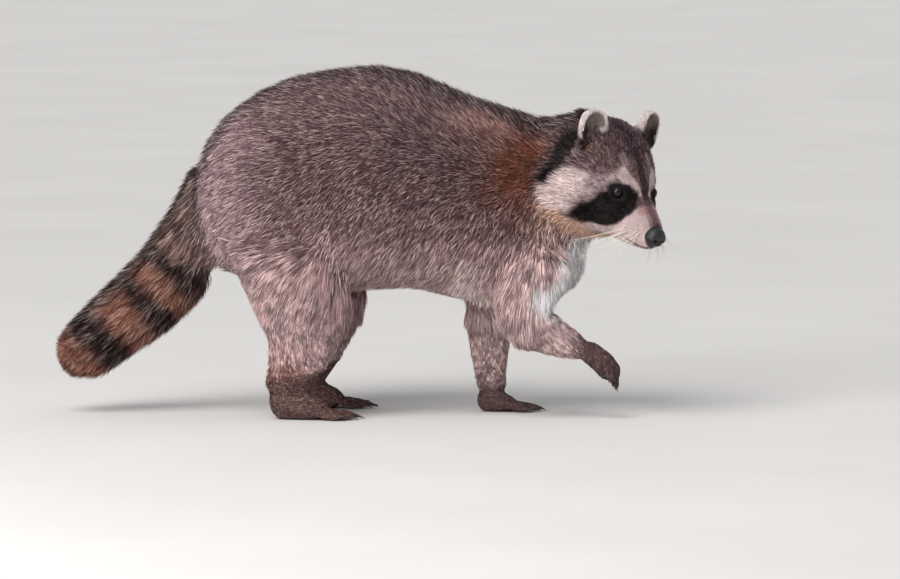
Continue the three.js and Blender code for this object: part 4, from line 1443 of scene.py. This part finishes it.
def whisker_material():
    """Pale springy bristles with faint changes of tint."""
    material, shader, node, tree = new_material("whisker")
    place = node("TexCoord").outputs["Object"]
    tints = node("TexNoise", {"Vector": place, "Scale": 90, "Detail": 2}).outputs["Fac"]
    tree.links.new(
        ramp_of(node, tints, [(0.3, srgb(206, 196, 180)), (0.7, srgb(240, 234, 222))]),
        shader.inputs["Base Color"])
    rough = node("MapRange", {"Value": tints, "To Min": 0.35, "To Max": 0.5}).outputs[0]
    tree.links.new(rough, shader.inputs["Roughness"])
    return material


def build_whiskers():
    rng = np.random.default_rng(SEED + 90)
    tree = BVHTree.FromPolygons(skin_points.tolist(), skin_triangles.tolist())
    parts = []
    for hand in HANDS.values():
        for row in range(4):
            for k in range(5):
                x, z = 41 - 4.2 * k - 1.0 * row, -20 - 4.2 * row - 0.6 * k
                start = from_head((x, 0, z))
                hit = tree.ray_cast(Vector(start), Vector(head_way((0.1, hand, 0))))[0]
                if hit is None:
                    continue
                long = (28 + 7.0 * k) * rng.uniform(0.8, 1.1)
                sweep = 0.25 - 0.16 * k if hand > 0 else -0.02 - 0.12 * k
                way = unit(np.array([sweep, hand * 0.6, -0.75 - 0.10 * row]) + rng.normal(0, 0.10, 3))
                bend = np.array([-0.25, 0, -0.1 + 0.1 * rng.random()])
                t = np.linspace(0, 1, 9)[:, None]
                line = np.array(hit) + (HEAD_AXES @ way) * long * t + (HEAD_AXES @ bend) * long * 0.55 * t**2
                parts.append(tube(line, 0.36 * (1 - 0.8 * t[:, 0]), 4, head_way((0, 0.3, 1))))
    points, faces = gather(parts)
    whiskers = make_mesh("whiskers", points, faces, whisker_material())
    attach(whiskers, "root")


build_whiskers()


# ---------------------------------------------------------------- floor, light and camera

def build_stage():
    bpy.context.scene.view_settings.view_transform = "Standard"
    material, shader, node, tree = new_material("pale_floor")
    place = node("TexCoord").outputs["Object"]
    clouds = node("TexNoise", {"Vector": place, "Scale": 3, "Detail": 2}).outputs["Fac"]
    tree.links.new(
        ramp_of(node, clouds, [(0.3, srgb(215, 214, 212)), (0.7, srgb(220, 219, 217))]),
        shader.inputs["Base Color"])
    shader.inputs["Roughness"].default_value = 0.9
    size = 60000.0
    corners = np.array([(-size, -size, 0), (size, -size, 0), (size, size, 0), (-size, size, 0)])
    floor = make_mesh("floor", corners, np.array([[0, 1, 2, 3]]), material, smooth=False)


def lamp(kind, name, where, aim, energy, colour, **settings):
    light = bpy.data.lights.new(name, kind)
    light.energy, light.color = energy, colour
    for key, value in settings.items():
        setattr(light, key, value)
    placed = bpy.data.objects.new(name, light)
    placed.location = Vector(where)
    placed.rotation_mode = "QUATERNION"
    placed.rotation_quaternion = (Vector(aim) - Vector(where)).to_track_quat("-Z", "Y")
    placed.visible_camera = False
    bpy.context.scene.collection.objects.link(placed)


def build_lights():
    world = bpy.data.worlds.new("pale_room")
    world.use_nodes = True
    background = world.node_tree.nodes["Background"]
    background.inputs["Color"].default_value = (0.97, 0.97, 1.0, 1)
    background.inputs["Strength"].default_value = 0.5
    bpy.context.scene.world = world
    lamp("SUN", "soft_sky", (-1.2, -2.2, 3.4), (0, 0, 0.15), 1.78, (1.0, 0.97, 0.93), angle=math.radians(35))
    lamp("AREA", "soft_box", (-1.5, -1.9, 0.9), (0.1, 0, 0.2), 40, (1.0, 0.99, 0.97),
         shape="RECTANGLE", size=1.7, size_y=1.2)


# The camera looks along +Y and a little down, from far off, as through a long lens.
TARGET = np.array([95.6, 0.0, 132.3]) + SHIFT
VIEW_DOWN = math.radians(5)
VIEW_FROM = 7500.0
VIEW_WIDTH = 956.25  # what the picture's width takes in at the target


def build_camera():
    ahead = np.array([0, math.cos(VIEW_DOWN), -math.sin(VIEW_DOWN)])
    data = bpy.data.cameras.new("camera")
    data.sensor_width = 36
    data.lens = 36 * VIEW_FROM / VIEW_WIDTH
    data.clip_start, data.clip_end = 0.1, 200
    camera = bpy.data.objects.new("camera", data)
    camera.location = Vector((TARGET - ahead * VIEW_FROM) * MM)
    camera.rotation_mode = "QUATERNION"
    camera.rotation_quaternion = Vector(ahead).to_track_quat("-Z", "Y")
    bpy.context.scene.collection.objects.link(camera)
    bpy.context.scene.camera = camera


build_stage()
build_lights()
build_camera()
